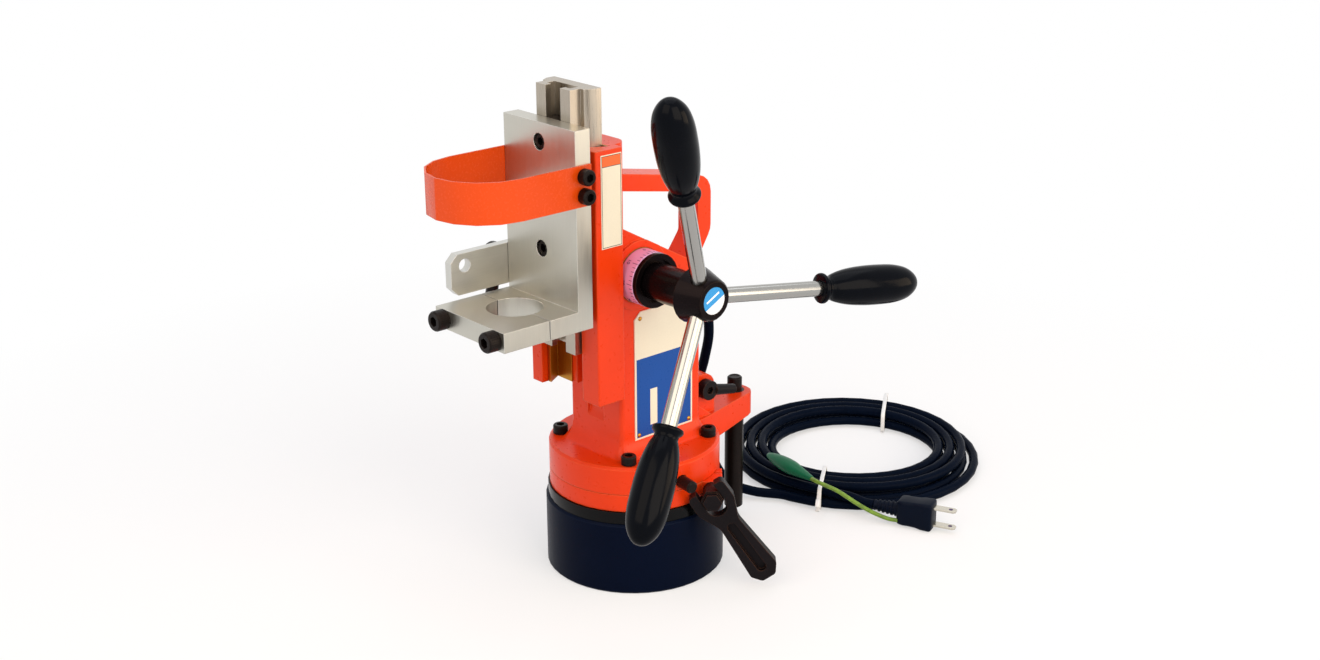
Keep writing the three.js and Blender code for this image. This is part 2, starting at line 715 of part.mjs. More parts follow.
function carryHandle() {
  const topAt = (y) => shaftZ + handleTopAboveShaft - handleTopSlope * (y - spineRearY);
  const rootY = spineRearY - spineCornerRadius / 2;
  const innerRearY = handleRearY - handleThickness;
  const bendZ = shaftZ + handleBendAboveShaft;
  const kneeZ = shaftZ + handleKneeAboveShaft;
  const outline = [
    [rootY, topAt(rootY)], [rootY, topAt(rootY) - handleThickness],
    [innerRearY, topAt(innerRearY) - handleThickness, handleInnerRadius],
    [innerRearY, bendZ, handleInnerRadius],
    [handleSlantY - handleThickness, kneeZ],
    [columnRearY - handleThickness / 2, bodyTopAt(columnRearY) - handleThickness / 2],
    [columnRearY - handleThickness / 2, shaftZ + handleRootAboveShaft - handleThickness / 2],
    [columnRearY, shaftZ + handleRootAboveShaft],
    [handleSlantY, kneeZ, handleOuterRadius], [handleRearY, bendZ + handleInnerRadius / 2, handleOuterRadius],
    [handleRearY, topAt(handleRearY), handleOuterRadius],
  ];
  return extruded(alongX, outline.reverse(), -handleHalfWidth, handleHalfWidth);
}

function rearLug() {
  const tipY = jackY + lugTipRadius;
  const plan = extruded(alongZ, [
    [-lugRootHalfWidth, lugRootY - lugTipRadius], [lugRootHalfWidth, lugRootY - lugTipRadius],
    [lugRootHalfWidth, lugRootY], [lugTipRadius * lugTipShare, tipY, lugTipRadius],
    [-lugTipRadius * lugTipShare, tipY, lugTipRadius], [-lugRootHalfWidth, lugRootY],
  ], flangeBottomZ, lugTopZ);
  const side = extruded(alongX, [
    [columnRearY - lugTipRadius, lugTopZ - lugThickness], [lugRootY + lugTipRadius, lugTopZ - lugThickness],
    [tipY + cutOverrun, lugTopZ - lugThickness + lugTipRise], [tipY + cutOverrun, lugTopZ],
    [columnRearY - lugTipRadius, lugTopZ],
  ], -lugRootHalfWidth - cutOverrun, lugRootHalfWidth + cutOverrun);
  const boss = extruded(alongX, [
    [lockBossY - lockBossRadius, lugTopZ - lugThickness / 2], [lockBossY + lockBossRadius, lugTopZ - lugThickness / 2],
    [lockBossY + lockBossRadius, lockZ + lockBossRadius, lockBossRadius * lockBossRoundShare],
    [lockBossY - lockBossRadius, lockZ + lockBossRadius],
  ], lockBossInnerX, lockBossOuterX);
  const web = extruded(alongX, [
    [columnRearY - cutOverrun, lugTopZ - lugThickness / 2], [lugRootY + lockBossRadius, lugTopZ - lugThickness / 2],
    [lugRootY + lockBossRadius, lugTopZ], [columnRearY + cutOverrun, lugTopZ + lockBossRadius],
    [columnRearY - cutOverrun, lugTopZ + lockBossRadius],
  ], -lugRootHalfWidth + columnCornerRadius, lugRootHalfWidth - columnCornerRadius);
  return joined(plan.intersect(side), boss, web);
}

const flangeScrewPlaces = regularCorners(flangeScrewCount, flangeScrewCircle, Math.PI / flangeScrewCount);
const stopPinAxes = new THREE.Matrix4().makeRotationZ(stopPinAngle).multiply(alongX);
const glandZ = flangeTopZ + glandAboveFlange;
const switchZ = flangeTopZ + switchAboveFlange;
const lockZ = flangeTopZ + lockBossAboveFlange;

function buildCasting(group) {
  const flange = revolved(alongZ, [
    [0, flangeBottomZ], [flangeRadius, flangeBottomZ], [flangeRadius, flangeTopZ - flangeEdge],
    [flangeRadius - flangeEdge, flangeTopZ], [0, flangeTopZ],
  ], largeSides);
  const pad = bar(alongX, padRadius, 0, padX, shaftY, shaftZ, mediumSides)
    .intersect(block(0, padX, columnFrontY - cutOverrun, columnRearY, guideBottomZ, shaftZ + padRadius));
  const padTrim = extruded(alongX, [
    [columnFrontY - cutOverrun, guideBottomZ], [columnRearY, guideBottomZ],
    [columnRearY, bodyTopAt(columnRearY)], [columnFrontY - cutOverrun, bodyTopAt(columnFrontY - cutOverrun)],
  ], 0, padX);
  const mass = joined(flange, columnFoot(), columnBody(), guideBlock(), carryHandle(), rearLug(),
    pad.intersect(padTrim));
  const spotFaces = flangeScrewPlaces.map(([x, y]) =>
    bar(alongZ, spotFaceRadius, flangeTopZ, flangeTopZ + 2 * columnFootRadius, x, y));
  const screwHoles = flangeScrewPlaces.map(([x, y]) =>
    bar(alongZ, m6.shank + screwHoleGap, flangeBottomZ - cutOverrun, flangeTopZ + cutOverrun, x, y));
  const pinionBore = bar(alongX, pinionBoreRadius, -bushInnerX, padX + cutOverrun, shaftY, shaftZ, mediumSides);
  const leftBore = bar(alongX, leftBushRadius + seatGap, -columnHalfWidth - cutOverrun, 0, shaftY, shaftZ,
    mediumSides);
  const jackBore = bar(alongZ, jackPostRadius + runningGap, flangeBottomZ, lugTopZ + cutOverrun, 0, jackY);
  const lockBore = bar(alongX, lockShankRadius + screwHoleGap, lockBossInnerX + cutOverrun,
    lockBossOuterX + cutOverrun, lockBossY, lockZ);
  const glandBore = bar(alongY, glandPlugRadius + seatGap, columnRearY - glandPlugDepth - seatGap,
    columnRearY + cutOverrun, glandZ, glandX);
  const switchWell = block(-columnHalfWidth - cutOverrun, -columnHalfWidth + rockerDepth,
    switchY - rockerWidth / 2 - 2 * seatGap, switchY + rockerWidth / 2 + 2 * seatGap,
    switchZ - rockerHeight / 2 - 2 * seatGap, switchZ + rockerHeight / 2 + 2 * seatGap);
  const stopPinBore = bar(stopPinAxes, stopPinRadius + seatGap, flangeRadius - stopPinDepth,
    flangeRadius + cutOverrun, 0, stopPinZ);
  const gibHoles = gibScrewShares.map((share) => bar(alongX, gibScrewRadius + screwHoleGap,
    -guideHalfWidth - cutOverrun, -slideFlankX(gibScrewY), gibScrewY, guideBottomZ + share * guideHeight));
  const casting = cut(mass, ...spotFaces, ...screwHoles, pinionBore, leftBore, jackBore, lockBore,
    glandBore, stopPinBore, switchWell, guideChannel(), ...gibHoles);
  addPiece(group, 'column_casting', casting, redPaint);
}

function buildGuideFittings(group) {
  const inner = (y) => -slideFlankX(y) - flankGap;
  const floorY = channelFloorY - seatGap / 2;
  const stripY = floorY - stripThickness;
  const gib = extruded(alongZ, [
    [inner(gibFrontY) - gibThickness, gibFrontY], [inner(gibFrontY), gibFrontY],
    [inner(stripY), stripY], [-stripInnerX, stripY], [-stripInnerX, floorY],
    [inner(floorY) - gibThickness, floorY],
  ], guideBottomZ, guideTopZ);
  addPiece(group, 'guide_gib', gib, brass);
  addPiece(group, 'guide_strip', block(stripInnerX, channelRightX(stripY) - seatGap, stripY, floorY,
    guideBottomZ, guideTopZ), brass);
  const screwLow = inner(gibScrewY + gibScrewRadius) - gibThickness - seatGap;
  gibScrewShares.forEach((share, i) => {
    const z = guideBottomZ + share * guideHeight;
    const head = bar(alongX, gibScrewHeadRadius, -guideHalfWidth - seatGap - gibScrewHeadLength,
      -guideHalfWidth - seatGap, gibScrewY, z);
    const shank = bar(alongX, gibScrewRadius, -guideHalfWidth - gibScrewHeadLength / 2, screwLow, gibScrewY, z);
    const socket = extruded(alongX, hexagonCorners(gibScrewHeadRadius).map(([a, b]) => [a + gibScrewY, b + z]),
      -guideHalfWidth - gibScrewHeadLength - cutOverrun, -guideHalfWidth - gibScrewHeadLength / 2);
    addPiece(group, `gib_screw_${i + 1}`, cut(joined(head, shank), socket), blackOxide);
  });
}

function buildColumnFittings(group) {
  flangeScrewPlaces.forEach(([x, y], i) => addPiece(group, `flange_screw_${i + 1}`,
    socketScrew(alongZ, m6, flangeTopZ + seatGap, 1, flangeScrewLength, x, y), blackOxide));
  addPiece(group, 'stop_pin', revolved(stopPinAxes, [
    [0, flangeRadius - stopPinDepth + seatGap], [stopPinRadius, flangeRadius - stopPinDepth + seatGap],
    [stopPinRadius, flangeRadius + stopPinLength - stopPinEdge],
    [stopPinRadius - stopPinEdge, flangeRadius + stopPinLength], [0, flangeRadius + stopPinLength],
  ], smallSides, 0, stopPinZ), blackOxide);
  addPiece(group, 'shaft_bush_right', revolved(alongX, [
    [shaftRadius + runningGap, bushInnerX], [pinionBoreRadius - seatGap, bushInnerX],
    [pinionBoreRadius - seatGap, padX], [shaftRadius + runningGap, padX],
  ], mediumSides, shaftY, shaftZ), bronze);
  const capInnerX = -columnHalfWidth - seatGap;
  const capOuterX = capInnerX - bushCapThickness;
  addPiece(group, 'shaft_bush_left', revolved(alongX, [
    [0, capOuterX], [bushCapRadius - bushCapThickness / 2, capOuterX],
    [bushCapRadius, capOuterX + bushCapThickness / 2], [bushCapRadius, capInnerX],
    [leftBushRadius, capInnerX], [leftBushRadius, -bushInnerX],
    [shaftJournalRadius + runningGap, -bushInnerX], [shaftJournalRadius + runningGap, capInnerX],
    [0, capInnerX],
  ], mediumSides, shaftY, shaftZ), bronze);
}

// Switch plate with a window, and the rocker that tips in it
function buildSwitch(group) {
  const wallX = -columnHalfWidth - seatGap;
  const bezel = extruded(alongX, rectangle(switchY - switchBezelWidth / 2, switchY + switchBezelWidth / 2,
    switchZ - switchBezelHeight / 2, switchZ + switchBezelHeight / 2, switchBezelThickness),
  wallX - switchBezelThickness, wallX);
  const opening = extruded(alongX, rectangle(switchY - rockerWidth / 2 - runningGap,
    switchY + rockerWidth / 2 + runningGap, switchZ - rockerHeight / 2 - runningGap,
    switchZ + rockerHeight / 2 + runningGap), wallX - switchBezelThickness - cutOverrun, wallX + cutOverrun);
  addPiece(group, 'switch_bezel', cut(bezel, opening), phenolic);
  const rocker = new THREE.Group();
  rocker.position.set(wallX, switchY, switchZ);
  const half = rockerHeight / 2 - 2 * runningGap;
  const faceX = -switchBezelThickness;
  // the outline is drawn in (x, z) round the rocker's pivot on the wall
  const outline = [
    [faceX - rockerRise, half], [faceX - rockerRise / 2, 0], [faceX, -half],
    [rockerDepth / 3, -half * rockerHeelShare], [rockerDepth - rockerHeelInset, 0],
    [rockerDepth / 3, half * rockerHeelShare],
  ];
  const rockerSolid = extruded(new THREE.Matrix4().makeBasis(new THREE.Vector3(1, 0, 0),
    new THREE.Vector3(0, 0, 1), new THREE.Vector3(0, -1, 0)), outline.reverse(),
  -rockerWidth / 2, rockerWidth / 2);
  addPiece(rocker, 'magnet_rocker', rockerSolid, redPaint);
  group.add(rocker);
}

// Slide with its lips, T-slot and flanks
function buildSlide(group) {
  const flankX = slideFlankX(slideFlankRearY);
  const body = extruded(alongZ, [
    [-slideLipHalfWidth, slideLipFrontY], [slideLipHalfWidth, slideLipFrontY],
    [slideLipHalfWidth, slideShoulderY], [slideShoulderHalfWidth, slideShoulderY],
    [flankX, slideFlankRearY], [flankX, slideRearY], [-flankX, slideRearY],
    [-flankX, slideFlankRearY], [-slideShoulderHalfWidth, slideShoulderY],
    [-slideLipHalfWidth, slideShoulderY],
  ], slideBottomZ, slideBottomZ + slideLength);
  const lowZ = slideBottomZ - cutOverrun;
  const highZ = slideBottomZ + slideLength + cutOverrun;
  const slot = block(-slotHalfWidth, slotHalfWidth, slideLipFrontY - cutOverrun, teeRearY, lowZ, highZ);
  const tee = block(-teeHalfWidth, teeHalfWidth, teeFrontY, teeRearY, lowZ, highZ);
  const cornerCut = extruded(alongY, [
    [slideBottomZ - cutOverrun, -flankX - cutOverrun], [slideBottomZ + slideCorner, -flankX - cutOverrun],
    [slideBottomZ - cutOverrun, -flankX + slideCorner],
  ].reverse(), slideLipFrontY - cutOverrun, slideRearY + cutOverrun);
  addPiece(group, 'slide_bar', cut(body, slot, tee, cornerCut), steel);
  addPiece(group, 'feed_rack', rackSolid(), darkSteel);
  const [lowBoltZ, highBoltZ] = bracketBoltPlaces();
  const barLow = lowBoltZ - teeHalfWidth;
  const barHigh = highBoltZ + teeHalfWidth;
  const teeBar = joined(
    block(-teeHalfWidth + runningGap, teeHalfWidth - runningGap, teeFrontY + runningGap,
      teeRearY - runningGap, barLow, barHigh),
    block(-slotHalfWidth + runningGap, slotHalfWidth - runningGap, slideLipFrontY + runningGap,
      teeRearY - runningGap, barLow, barHigh),
  );
  const threads = bracketBoltPlaces().map((z) =>
    bar(alongY, m6.shank + screwHoleGap, slideLipFrontY - cutOverrun, teeRearY + cutOverrun, z, 0));
  addPiece(group, 'tee_bar', cut(teeBar, ...threads), blackOxide);
}

const bracketBoltPlaces = () => bracketBoltShares.map((share) => bracketBottomZ + share * bracketHeight);

// Rack with straight-sided teeth, in step with the pinion's teeth
function rackSolid() {
  const pitch = Math.PI * gearModule;
  const tipY = rackRearY + gearModule;
  const rootY = rackRearY - gearModule * (1 + tipClearanceShare);
  const halfTooth = pitch / 4 - toothBacklash / 2;
  const lean = Math.tan(pressureAngle);
  const rackLow = slideBottomZ + rackBottomAboveSlide;
  const firstTooth = Math.ceil((rackLow - shaftZ) / pitch - 0.5) + 0.5;
  const corners = [];
  for (let tooth = 0; tooth < rackTeeth; tooth += 1) {
    const z = shaftZ + (firstTooth + tooth) * pitch;
    corners.push([rootY, z - halfTooth - lean * (rackRearY - rootY)]);
    corners.push([tipY, z - halfTooth + lean * gearModule]);
    corners.push([tipY, z + halfTooth - lean * gearModule]);
    corners.push([rootY, z + halfTooth + lean * (rackRearY - rootY)]);
  }
  const [, lastZ] = corners[corners.length - 1];
  const [, firstZ] = corners[0];
  const rearY = slideRearY + seatGap;
  corners.push([rootY, lastZ + halfTooth], [rearY, lastZ + halfTooth], [rearY, firstZ - halfTooth],
    [rootY, firstZ - halfTooth]);
  return extruded(alongX, corners.reverse(), -rackHalfWidth, rackHalfWidth);
}

// Pinion with involute flanks; a tooth gap points at the rack
function pinionSolid() {
  const pitchRadius = (gearModule * pinionTeeth) / 2;
  const baseRadius = pitchRadius * Math.cos(pressureAngle);
  const tipRadius = pitchRadius + gearModule;
  const rootRadius = pitchRadius - gearModule * (1 + tipClearanceShare);
  const involute = (radius) => {
    const angle = Math.acos(Math.min(1, baseRadius / radius));
    return Math.tan(angle) - angle;
  };
  const halfAtPitch = Math.PI / (2 * pinionTeeth) - toothBacklash / (2 * pitchRadius);
  const radii = [rootRadius, baseRadius, ...toothFlankShares.map((share) =>
    baseRadius + share * (tipRadius - baseRadius))];
  const corners = [];
  for (let tooth = 0; tooth < pinionTeeth; tooth += 1) {
    const middle = Math.PI + ((tooth + 0.5) * 2 * Math.PI) / pinionTeeth + Math.PI / pinionTeeth;
    const half = (radius) => halfAtPitch + involute(pitchRadius) - involute(radius);
    radii.forEach((radius) => corners.push([radius * Math.cos(middle - half(radius)),
      radius * Math.sin(middle - half(radius))]));
    [...radii].reverse().forEach((radius) => corners.push([radius * Math.cos(middle + half(radius)),
      radius * Math.sin(middle + half(radius))]));
  }
  return extruded(alongX, corners, -pinionHalfWidth, pinionHalfWidth);
}

// Aluminium bracket: plate, shelf with half of the round clamp, and the screws that hold it
function buildBracket(group) {
  const shelfTopZ = bracketBottomZ + shelfThickness;
  const plate = block(-bracketHalfWidth, bracketHalfWidth, bracketFrontY, bracketRearY,
    bracketBottomZ, bracketTopZ);
  const shelf = block(-bracketHalfWidth, bracketHalfWidth, shelfSplitY + runningGap,
    bracketRearY - cutOverrun, bracketBottomZ, shelfTopZ);
  const clampHole = bar(alongZ, shelfHoleRadius, bracketBottomZ - cutOverrun, shelfTopZ + cutOverrun,
    0, shelfSplitY, mediumSides);
  const boltHoles = bracketBoltPlaces().map((z) => joined(
    bar(alongY, bracketBoltHoleRadius, bracketFrontY - cutOverrun, bracketRearY + cutOverrun, z, 0),
    bar(alongY, bracketBoltRadius + seatGap, bracketFrontY - cutOverrun,
      bracketFrontY + bracketBoltCounterbore, z, 0),
  ));
  const screwZ = bracketBottomZ + shelfThickness / 2;
  const threads = [-clampScrewX, clampScrewX].map((x) =>
    bar(alongY, m8.shank + screwHoleGap, shelfSplitY - cutOverrun, shelfSplitY + clampScrewReach, screwZ, x));
  const armThread = bar(alongX, armStudRadius + screwHoleGap, -bracketHalfWidth - cutOverrun,
    -bracketHalfWidth + armStudLength, sideArmPivotY, bracketBottomZ + sideArmPivotAboveBracket);
  const guardHoles = guardScrewPlaces().flatMap((z) => [-1, 1].map((side) => bar(alongX,
    m6.shank + screwHoleGap, ...[side * (bracketHalfWidth - guardScrewReach), side * (bracketHalfWidth + cutOverrun)]
      .sort((a, b) => a - b), guardScrewY, z)));
  addPiece(group, 'bracket', cut(joined(plate, shelf), clampHole, ...boltHoles, ...threads, armThread,
    ...guardHoles), aluminium);
  const cap = block(-bracketHalfWidth, bracketHalfWidth, shelfFrontY, shelfSplitY - runningGap,
    bracketBottomZ, shelfTopZ);
  const capHoles = [-clampScrewX, clampScrewX].map((x) =>
    bar(alongY, m8.shank + screwHoleGap, shelfFrontY - cutOverrun, shelfSplitY + cutOverrun, screwZ, x));
  addPiece(group, 'clamp_cap', cut(cap, clampHole, ...capHoles), aluminium);
  const screwLength = shelfSplitY - shelfFrontY + clampScrewReach - 2 * seatGap;
  [-clampScrewX, clampScrewX].forEach((x, i) => addPiece(group, `clamp_screw_${i + 1}`,
    socketScrew(alongY, m8, shelfFrontY - seatGap, -1, screwLength, screwZ, x), blackOxide));
  const boltSeatY = bracketFrontY + bracketBoltCounterbore - seatGap;
  bracketBoltPlaces().forEach((z, i) => addPiece(group, `bracket_bolt_${i + 1}`,
    socketScrew(alongY, m6, boltSeatY, -1, teeRearY - boltSeatY - runningGap, z, 0), blackOxide));
}

const guardScrewPlaces = () => {
  const middle = bracketBottomZ + strapBottomAboveBracket + strapWidth / 2;
  return [middle - guardScrewSpacing / 2, middle + guardScrewSpacing / 2];
};

// Sheet strap bent into a U in front of the plate, and its four screws
function buildGuard(group) {
  const lowZ = bracketBottomZ + strapBottomAboveBracket;
  const inner = bracketHalfWidth + seatGap;
  const outer = inner + strapThickness;
  const bend = (radius) => [
    [-radius, bracketRearY - seatGap], [-radius, strapCentreY - radius, radius * strapBendShare],
    [radius, strapCentreY - radius, radius * strapBendShare], [radius, bracketRearY - seatGap],
  ];
  const outside = extruded(alongZ, bend(outer), lowZ, lowZ + strapWidth);
  const inside = extruded(alongZ, bend(inner).map(([x, y, radius]) =>
    [x, y > bracketFrontY ? y + cutOverrun : y, radius]), lowZ - cutOverrun, lowZ + strapWidth + cutOverrun);
  const holes = guardScrewPlaces().map((z) => bar(alongX, m6.shank + screwHoleGap, -outer - cutOverrun,
    outer + cutOverrun, guardScrewY, z));
  addPiece(group, 'guard_strap', cut(outside, inside, ...holes), redPaint);
  const screws = guardScrewPlaces().flatMap((z) => [-1, 1].map((side) => socketScrew(alongX, m6,
    side * (outer + seatGap), side, outer - bracketHalfWidth + guardScrewReach - seatGap, guardScrewY, z)));
  screws.forEach((screw, i) => addPiece(group, `guard_screw_${i + 1}`, screw, blackOxide));
}

// Stay arm on the plate's left edge, and its clamping lever, which hangs down and leans outward
function buildSideArm(group) {
  const pivot = new THREE.Group();
  pivot.position.set(-bracketHalfWidth, sideArmPivotY, bracketBottomZ + sideArmPivotAboveBracket);
  group.add(pivot);
  const lowZ = -sideArmHeight * sideArmPivotShare;
  const highZ = lowZ + sideArmHeight;
  const arm = extruded(alongX, [
    [-sideArmFrontReach, lowZ + sideArmCorner], [-sideArmFrontReach + sideArmCorner, lowZ],
    [sideArmRearReach, lowZ], [sideArmRearReach, highZ],
    [-sideArmFrontReach + sideArmCorner, highZ], [-sideArmFrontReach, highZ - sideArmCorner],
  ], -runningGap - sideArmThickness, -runningGap);
  const eye = bar(alongX, sideArmHoleRadius, -sideArmThickness - cutOverrun, 0, -sideArmHoleReach, sideArmHoleRise);
  const studHole = bar(alongX, armStudRadius + runningGap, -sideArmThickness - cutOverrun, 0);
  addPiece(pivot, 'side_arm', cut(arm, eye, studHole), aluminium);
  const armFaceX = -2 * runningGap - sideArmThickness;
  const hubOuterX = armFaceX - armLeverHubLength;
  const leverAxes = new THREE.Matrix4().makeTranslation(hubOuterX + armLeverRootInset, 0, 0)
    .multiply(new THREE.Matrix4().makeRotationY(Math.PI + armLeverLean));
  addPiece(pivot, 'arm_knob', joined(
    bar(alongX, armLeverHubRadius, hubOuterX, armFaceX, 0, 0, mediumSides),
    bar(alongX, armStudRadius, armFaceX - armLeverHubLength / 2, armStudLength - 2 * runningGap),
    revolved(leverAxes, [[0, 0], [armLeverRootRadius, 0], ...roundedEnd(armLeverEndRadius, armLeverLength)],
      smallSides),
  ), phenolic);
}

// One capstan arm along +Z of its own group: chrome rod and turned handle
function buildArm(capstan, number) {
  const arm = new THREE.Group();
  const turn = armPhase + ((number - 1) * 2 * Math.PI) / armCount;
  arm.position.set(armCrossX, 0, 0);
  const lean = new THREE.Vector3(Math.sin(armTilt), Math.cos(armTilt) * Math.sin(turn),
    Math.cos(armTilt) * Math.cos(turn));
  arm.quaternion.setFromUnitVectors(new THREE.Vector3(0, 0, 1), lean);
  capstan.add(arm);
  const rodEnd = knobStart + knobBoreDepth - seatGap;
  addPiece(arm, `feed_rod_${number}`, bar(alongZ, armRodRadius, armRodStart, rodEnd), chrome);
  const bore = armRodRadius + seatGap;
  const profile = [
    [bore, knobStart], [knobCollarRadius - knobCollarEdge, knobStart],
    [knobCollarRadius, knobStart + knobCollarEdge], [knobCollarRadius, knobStart + knobCollarEnd],
    [knobNeckRadius, knobStart + knobNeckStart], [knobNeckRadius, knobStart + knobNeckEnd],
    ...knobProfileShares.map(([along, radius]) => [knobBellyRadius * radius, knobStart + knobLength * along]),
    [0, knobStart + knobLength], [0, knobStart + knobBoreDepth], [bore, knobStart + knobBoreDepth],
  ];
  addPiece(arm, `feed_knob_${number}`, revolved(alongZ, profile, knobSides), phenolic);
  return { direction: lean, bore };
}

// Everything that turns with the feed shaft, in a group on the shaft's axis
function buildCapstan(group) {
  const capstan = new THREE.Group();
  capstan.position.set(0, shaftY, shaftZ);
  group.add(capstan);
  const shaftLeft = -columnHalfWidth + seatGap;
  const shaft = revolved(alongX, [
    [0, shaftLeft], [shaftJournalRadius, shaftLeft], [shaftJournalRadius, -bushInnerX],
    [shaftRadius, -bushInnerX], [shaftRadius, hubBoreEndX - seatGap], [0, hubBoreEndX - seatGap],
  ], mediumSides);
  addPiece(capstan, 'pinion_shaft', joined(shaft, pinionSolid()), steel);
  const dialStart = padX + runningGap;
  const dialEnd = dialStart + dialRingLength;
  const collarEnd = dialEnd + runningGap + collarFlangeThickness;
  const drumRadius = dialRingRadius - dialRingWall - runningGap;
  const bore = shaftRadius + seatGap;
  addPiece(capstan, 'dial_sleeve', revolved(alongX, [
    [bore, dialStart], [drumRadius, dialStart], [drumRadius, dialEnd + runningGap],
    [dialRingRadius, dialEnd + runningGap], [dialRingRadius, collarEnd], [collarRecessRadius, collarEnd],
    [collarRecessRadius, collarEnd - collarRecessDepth], [sleeveRadius, collarEnd - collarRecessDepth],
    [sleeveRadius, (collarEnd + hubStartX) / 2], [sleeveEndRadius, hubStartX - seatGap],
    [bore, hubStartX - seatGap],
  ], mediumSides), blackOxide);
  addPiece(capstan, 'dial_ring', revolved(alongX, [
    [drumRadius + runningGap, dialStart], [dialRingRadius, dialStart],
    [dialRingRadius, dialEnd], [drumRadius + runningGap, dialEnd],
  ], mediumSides), dialPink);
  const hub = revolved(alongX, [
    [bore, hubStartX], [hubRearRadius - hubEdge, hubStartX], [hubRearRadius, hubStartX + hubEdge],
    [hubFrontRadius, hubEndX - hubEdge], [hubFrontRadius - hubEdge, hubEndX],
    [hubDiscRadius, hubEndX], [hubDiscRadius, hubEndX - hubDiscDepth],
    [0, hubEndX - hubDiscDepth], [0, hubBoreEndX], [bore, hubBoreEndX],
  ], mediumSides);
  const rodHoles = [];
  for (let number = 1; number <= armCount; number += 1) {
    const { direction, bore: holeRadius } = buildArm(capstan, number);
    const hole = new THREE.CylinderGeometry(holeRadius, holeRadius, hubRearRadius * 2, smallSides);
    hole.translate(0, armRodStart - seatGap + hubRearRadius, 0);
    hole.applyQuaternion(new THREE.Quaternion().setFromUnitVectors(new THREE.Vector3(0, 1, 0), direction));
    hole.translate(armCrossX, 0, 0);
    rodHoles.push(solidFrom(hole));
  }
  addPiece(capstan, 'feed_hub', cut(hub, ...rodHoles), phenolic);
}

// Bolt of the swivel clamp and its lever, in a group on the bolt's axis with +Z outward
function buildClamp(group) {
  const clamp = new THREE.Group();
  const place = clampSide.clone().multiplyScalar(clampChord).addScaledVector(clampOut, clampBossEnd);
  clamp.position.set(place.x, place.y, clampZ);
  clamp.quaternion.setFromRotationMatrix(clampAxes);
  group.add(clamp);
  const sleeveEnd = seatGap + clampSleeveLength;
  const collarEnd = sleeveEnd + clampForkThickness;
  const bolt = joined(
    bar(alongZ, clampBoltShank, clampBoltEnter - clampBossEnd + seatGap, sleeveEnd),
    bar(alongZ, clampSleeveRadius, seatGap, sleeveEnd),
    extruded(alongZ, hexagonCorners(clampCollarFlats, Math.PI / 6), sleeveEnd, collarEnd + seatGap),
    extruded(alongZ, hexagonCorners(clampHeadFlats, Math.PI / 6), collarEnd, collarEnd + clampHeadHeight),
  );
  const leverTurn = new THREE.Group();
  leverTurn.rotation.z = clampLeverSwing;
  clamp.add(leverTurn);
  addPiece(leverTurn, 'clamp_bolt', bolt, blackOxide);
  const lowFace = sleeveEnd + seatGap;
  const highFace = collarEnd;
  const blank = extruded(alongZ, [
    [-clampForkWidth / 2, clampForkTip, clampForkCorner], [clampForkWidth / 2, clampForkTip, clampForkCorner],
    [clampForkWidth / 2, -clampSlotEnd, clampShoulderRadius],
    [clampNeckWidth / 2, -clampGrooveStart, clampNeckRadius],
    [clampEndWidth / 2, -clampLeverLength + clampEndWidth / 3, clampEndCorner],
    [clampEndWidth / 4, -clampLeverLength, clampEndCorner],
    [-clampEndWidth / 4, -clampLeverLength, clampEndCorner],
    [-clampEndWidth / 2, -clampLeverLength + clampEndWidth / 3, clampEndCorner],
    [-clampNeckWidth / 2, -clampGrooveStart, clampNeckRadius],
    [-clampForkWidth / 2, -clampSlotEnd, clampShoulderRadius],
  ], lowFace, highFace);
  const slotBottom = -clampSlotEnd - clampForkSlot / 2;
  const slotRound = clampForkSlot * clampSlotRoundShare;
  const slot = extruded(alongZ, [
    [-clampForkSlot / 2, clampForkTip + cutOverrun], [-clampForkSlot / 2, slotBottom, slotRound],
    [clampForkSlot / 2, slotBottom, slotRound], [clampForkSlot / 2, clampForkTip + cutOverrun],
  ], lowFace - cutOverrun, highFace + cutOverrun);
  const groove = extruded(alongZ, rectangle(-clampGrooveWidth / 2, clampGrooveWidth / 2,
    -clampLeverLength + clampGrooveWidth, -clampGrooveStart, clampGrooveCorner),
  highFace - clampGrooveDepth, highFace + cutOverrun);
  addPiece(leverTurn, 'clamp_lever', cut(blank, slot, groove), blackOxide);
}

// Jack in the rear lug, and the clamping lever beside it
function buildJack(group) {
  const jack = new THREE.Group();
  jack.position.set(0, jackY, 0);
  group.add(jack);
  const capTop = lugTopZ + jackCapHeight;
  addPiece(jack, 'jack_screw', revolved(alongZ, [
    [0, jackFootClearance], [jackPostRadius - magnetEdge, jackFootClearance],
    [jackPostRadius, jackFootClearance + magnetEdge], [jackPostRadius, lugTopZ],
    [jackCapRadius, lugTopZ], [jackCapRadius, capTop - magnetEdge], [jackCapRadius - magnetEdge, capTop],
    [0, capTop],
  ], smallSides), blackOxide);
  const lock = new THREE.Group();
  lock.position.set(lockBossOuterX, lockBossY, lockZ);
  group.add(lock);
  const eyeStart = runningGap;
  const eyeEnd = eyeStart + lockEyeThickness;
  const eye = joined(
    bar(alongX, lockEyeRadius, eyeStart, eyeEnd, 0, 0, mediumSides),
    bar(alongX, lockShankRadius, -lockEyeThickness - lockShankRadius, eyeEnd / 2),
  );
  const socket = extruded(alongX, hexagonCorners(m6.hexagon), eyeEnd / 2, eyeEnd + cutOverrun);
  const handle = new THREE.CylinderGeometry(lockHandleRadius, lockHandleRadius * lockHandleTaperShare,
    lockHandleLength, smallSides);
  handle.translate(0, -lockHandleLength / 2 - lockEyeRadius / 2, 0);
  handle.rotateX(Math.PI - lockHandleTilt);
  handle.translate(lockHandleRadius + eyeStart, 0, 0);
  addPiece(lock, 'jack_lock', joined(cut(eye, socket), cut(solidFrom(handle),
    bar(alongX, lockEyeRadius - cutOverrun, 0, eyeEnd + cutOverrun + lockHandleRadius))), blackOxide);
}

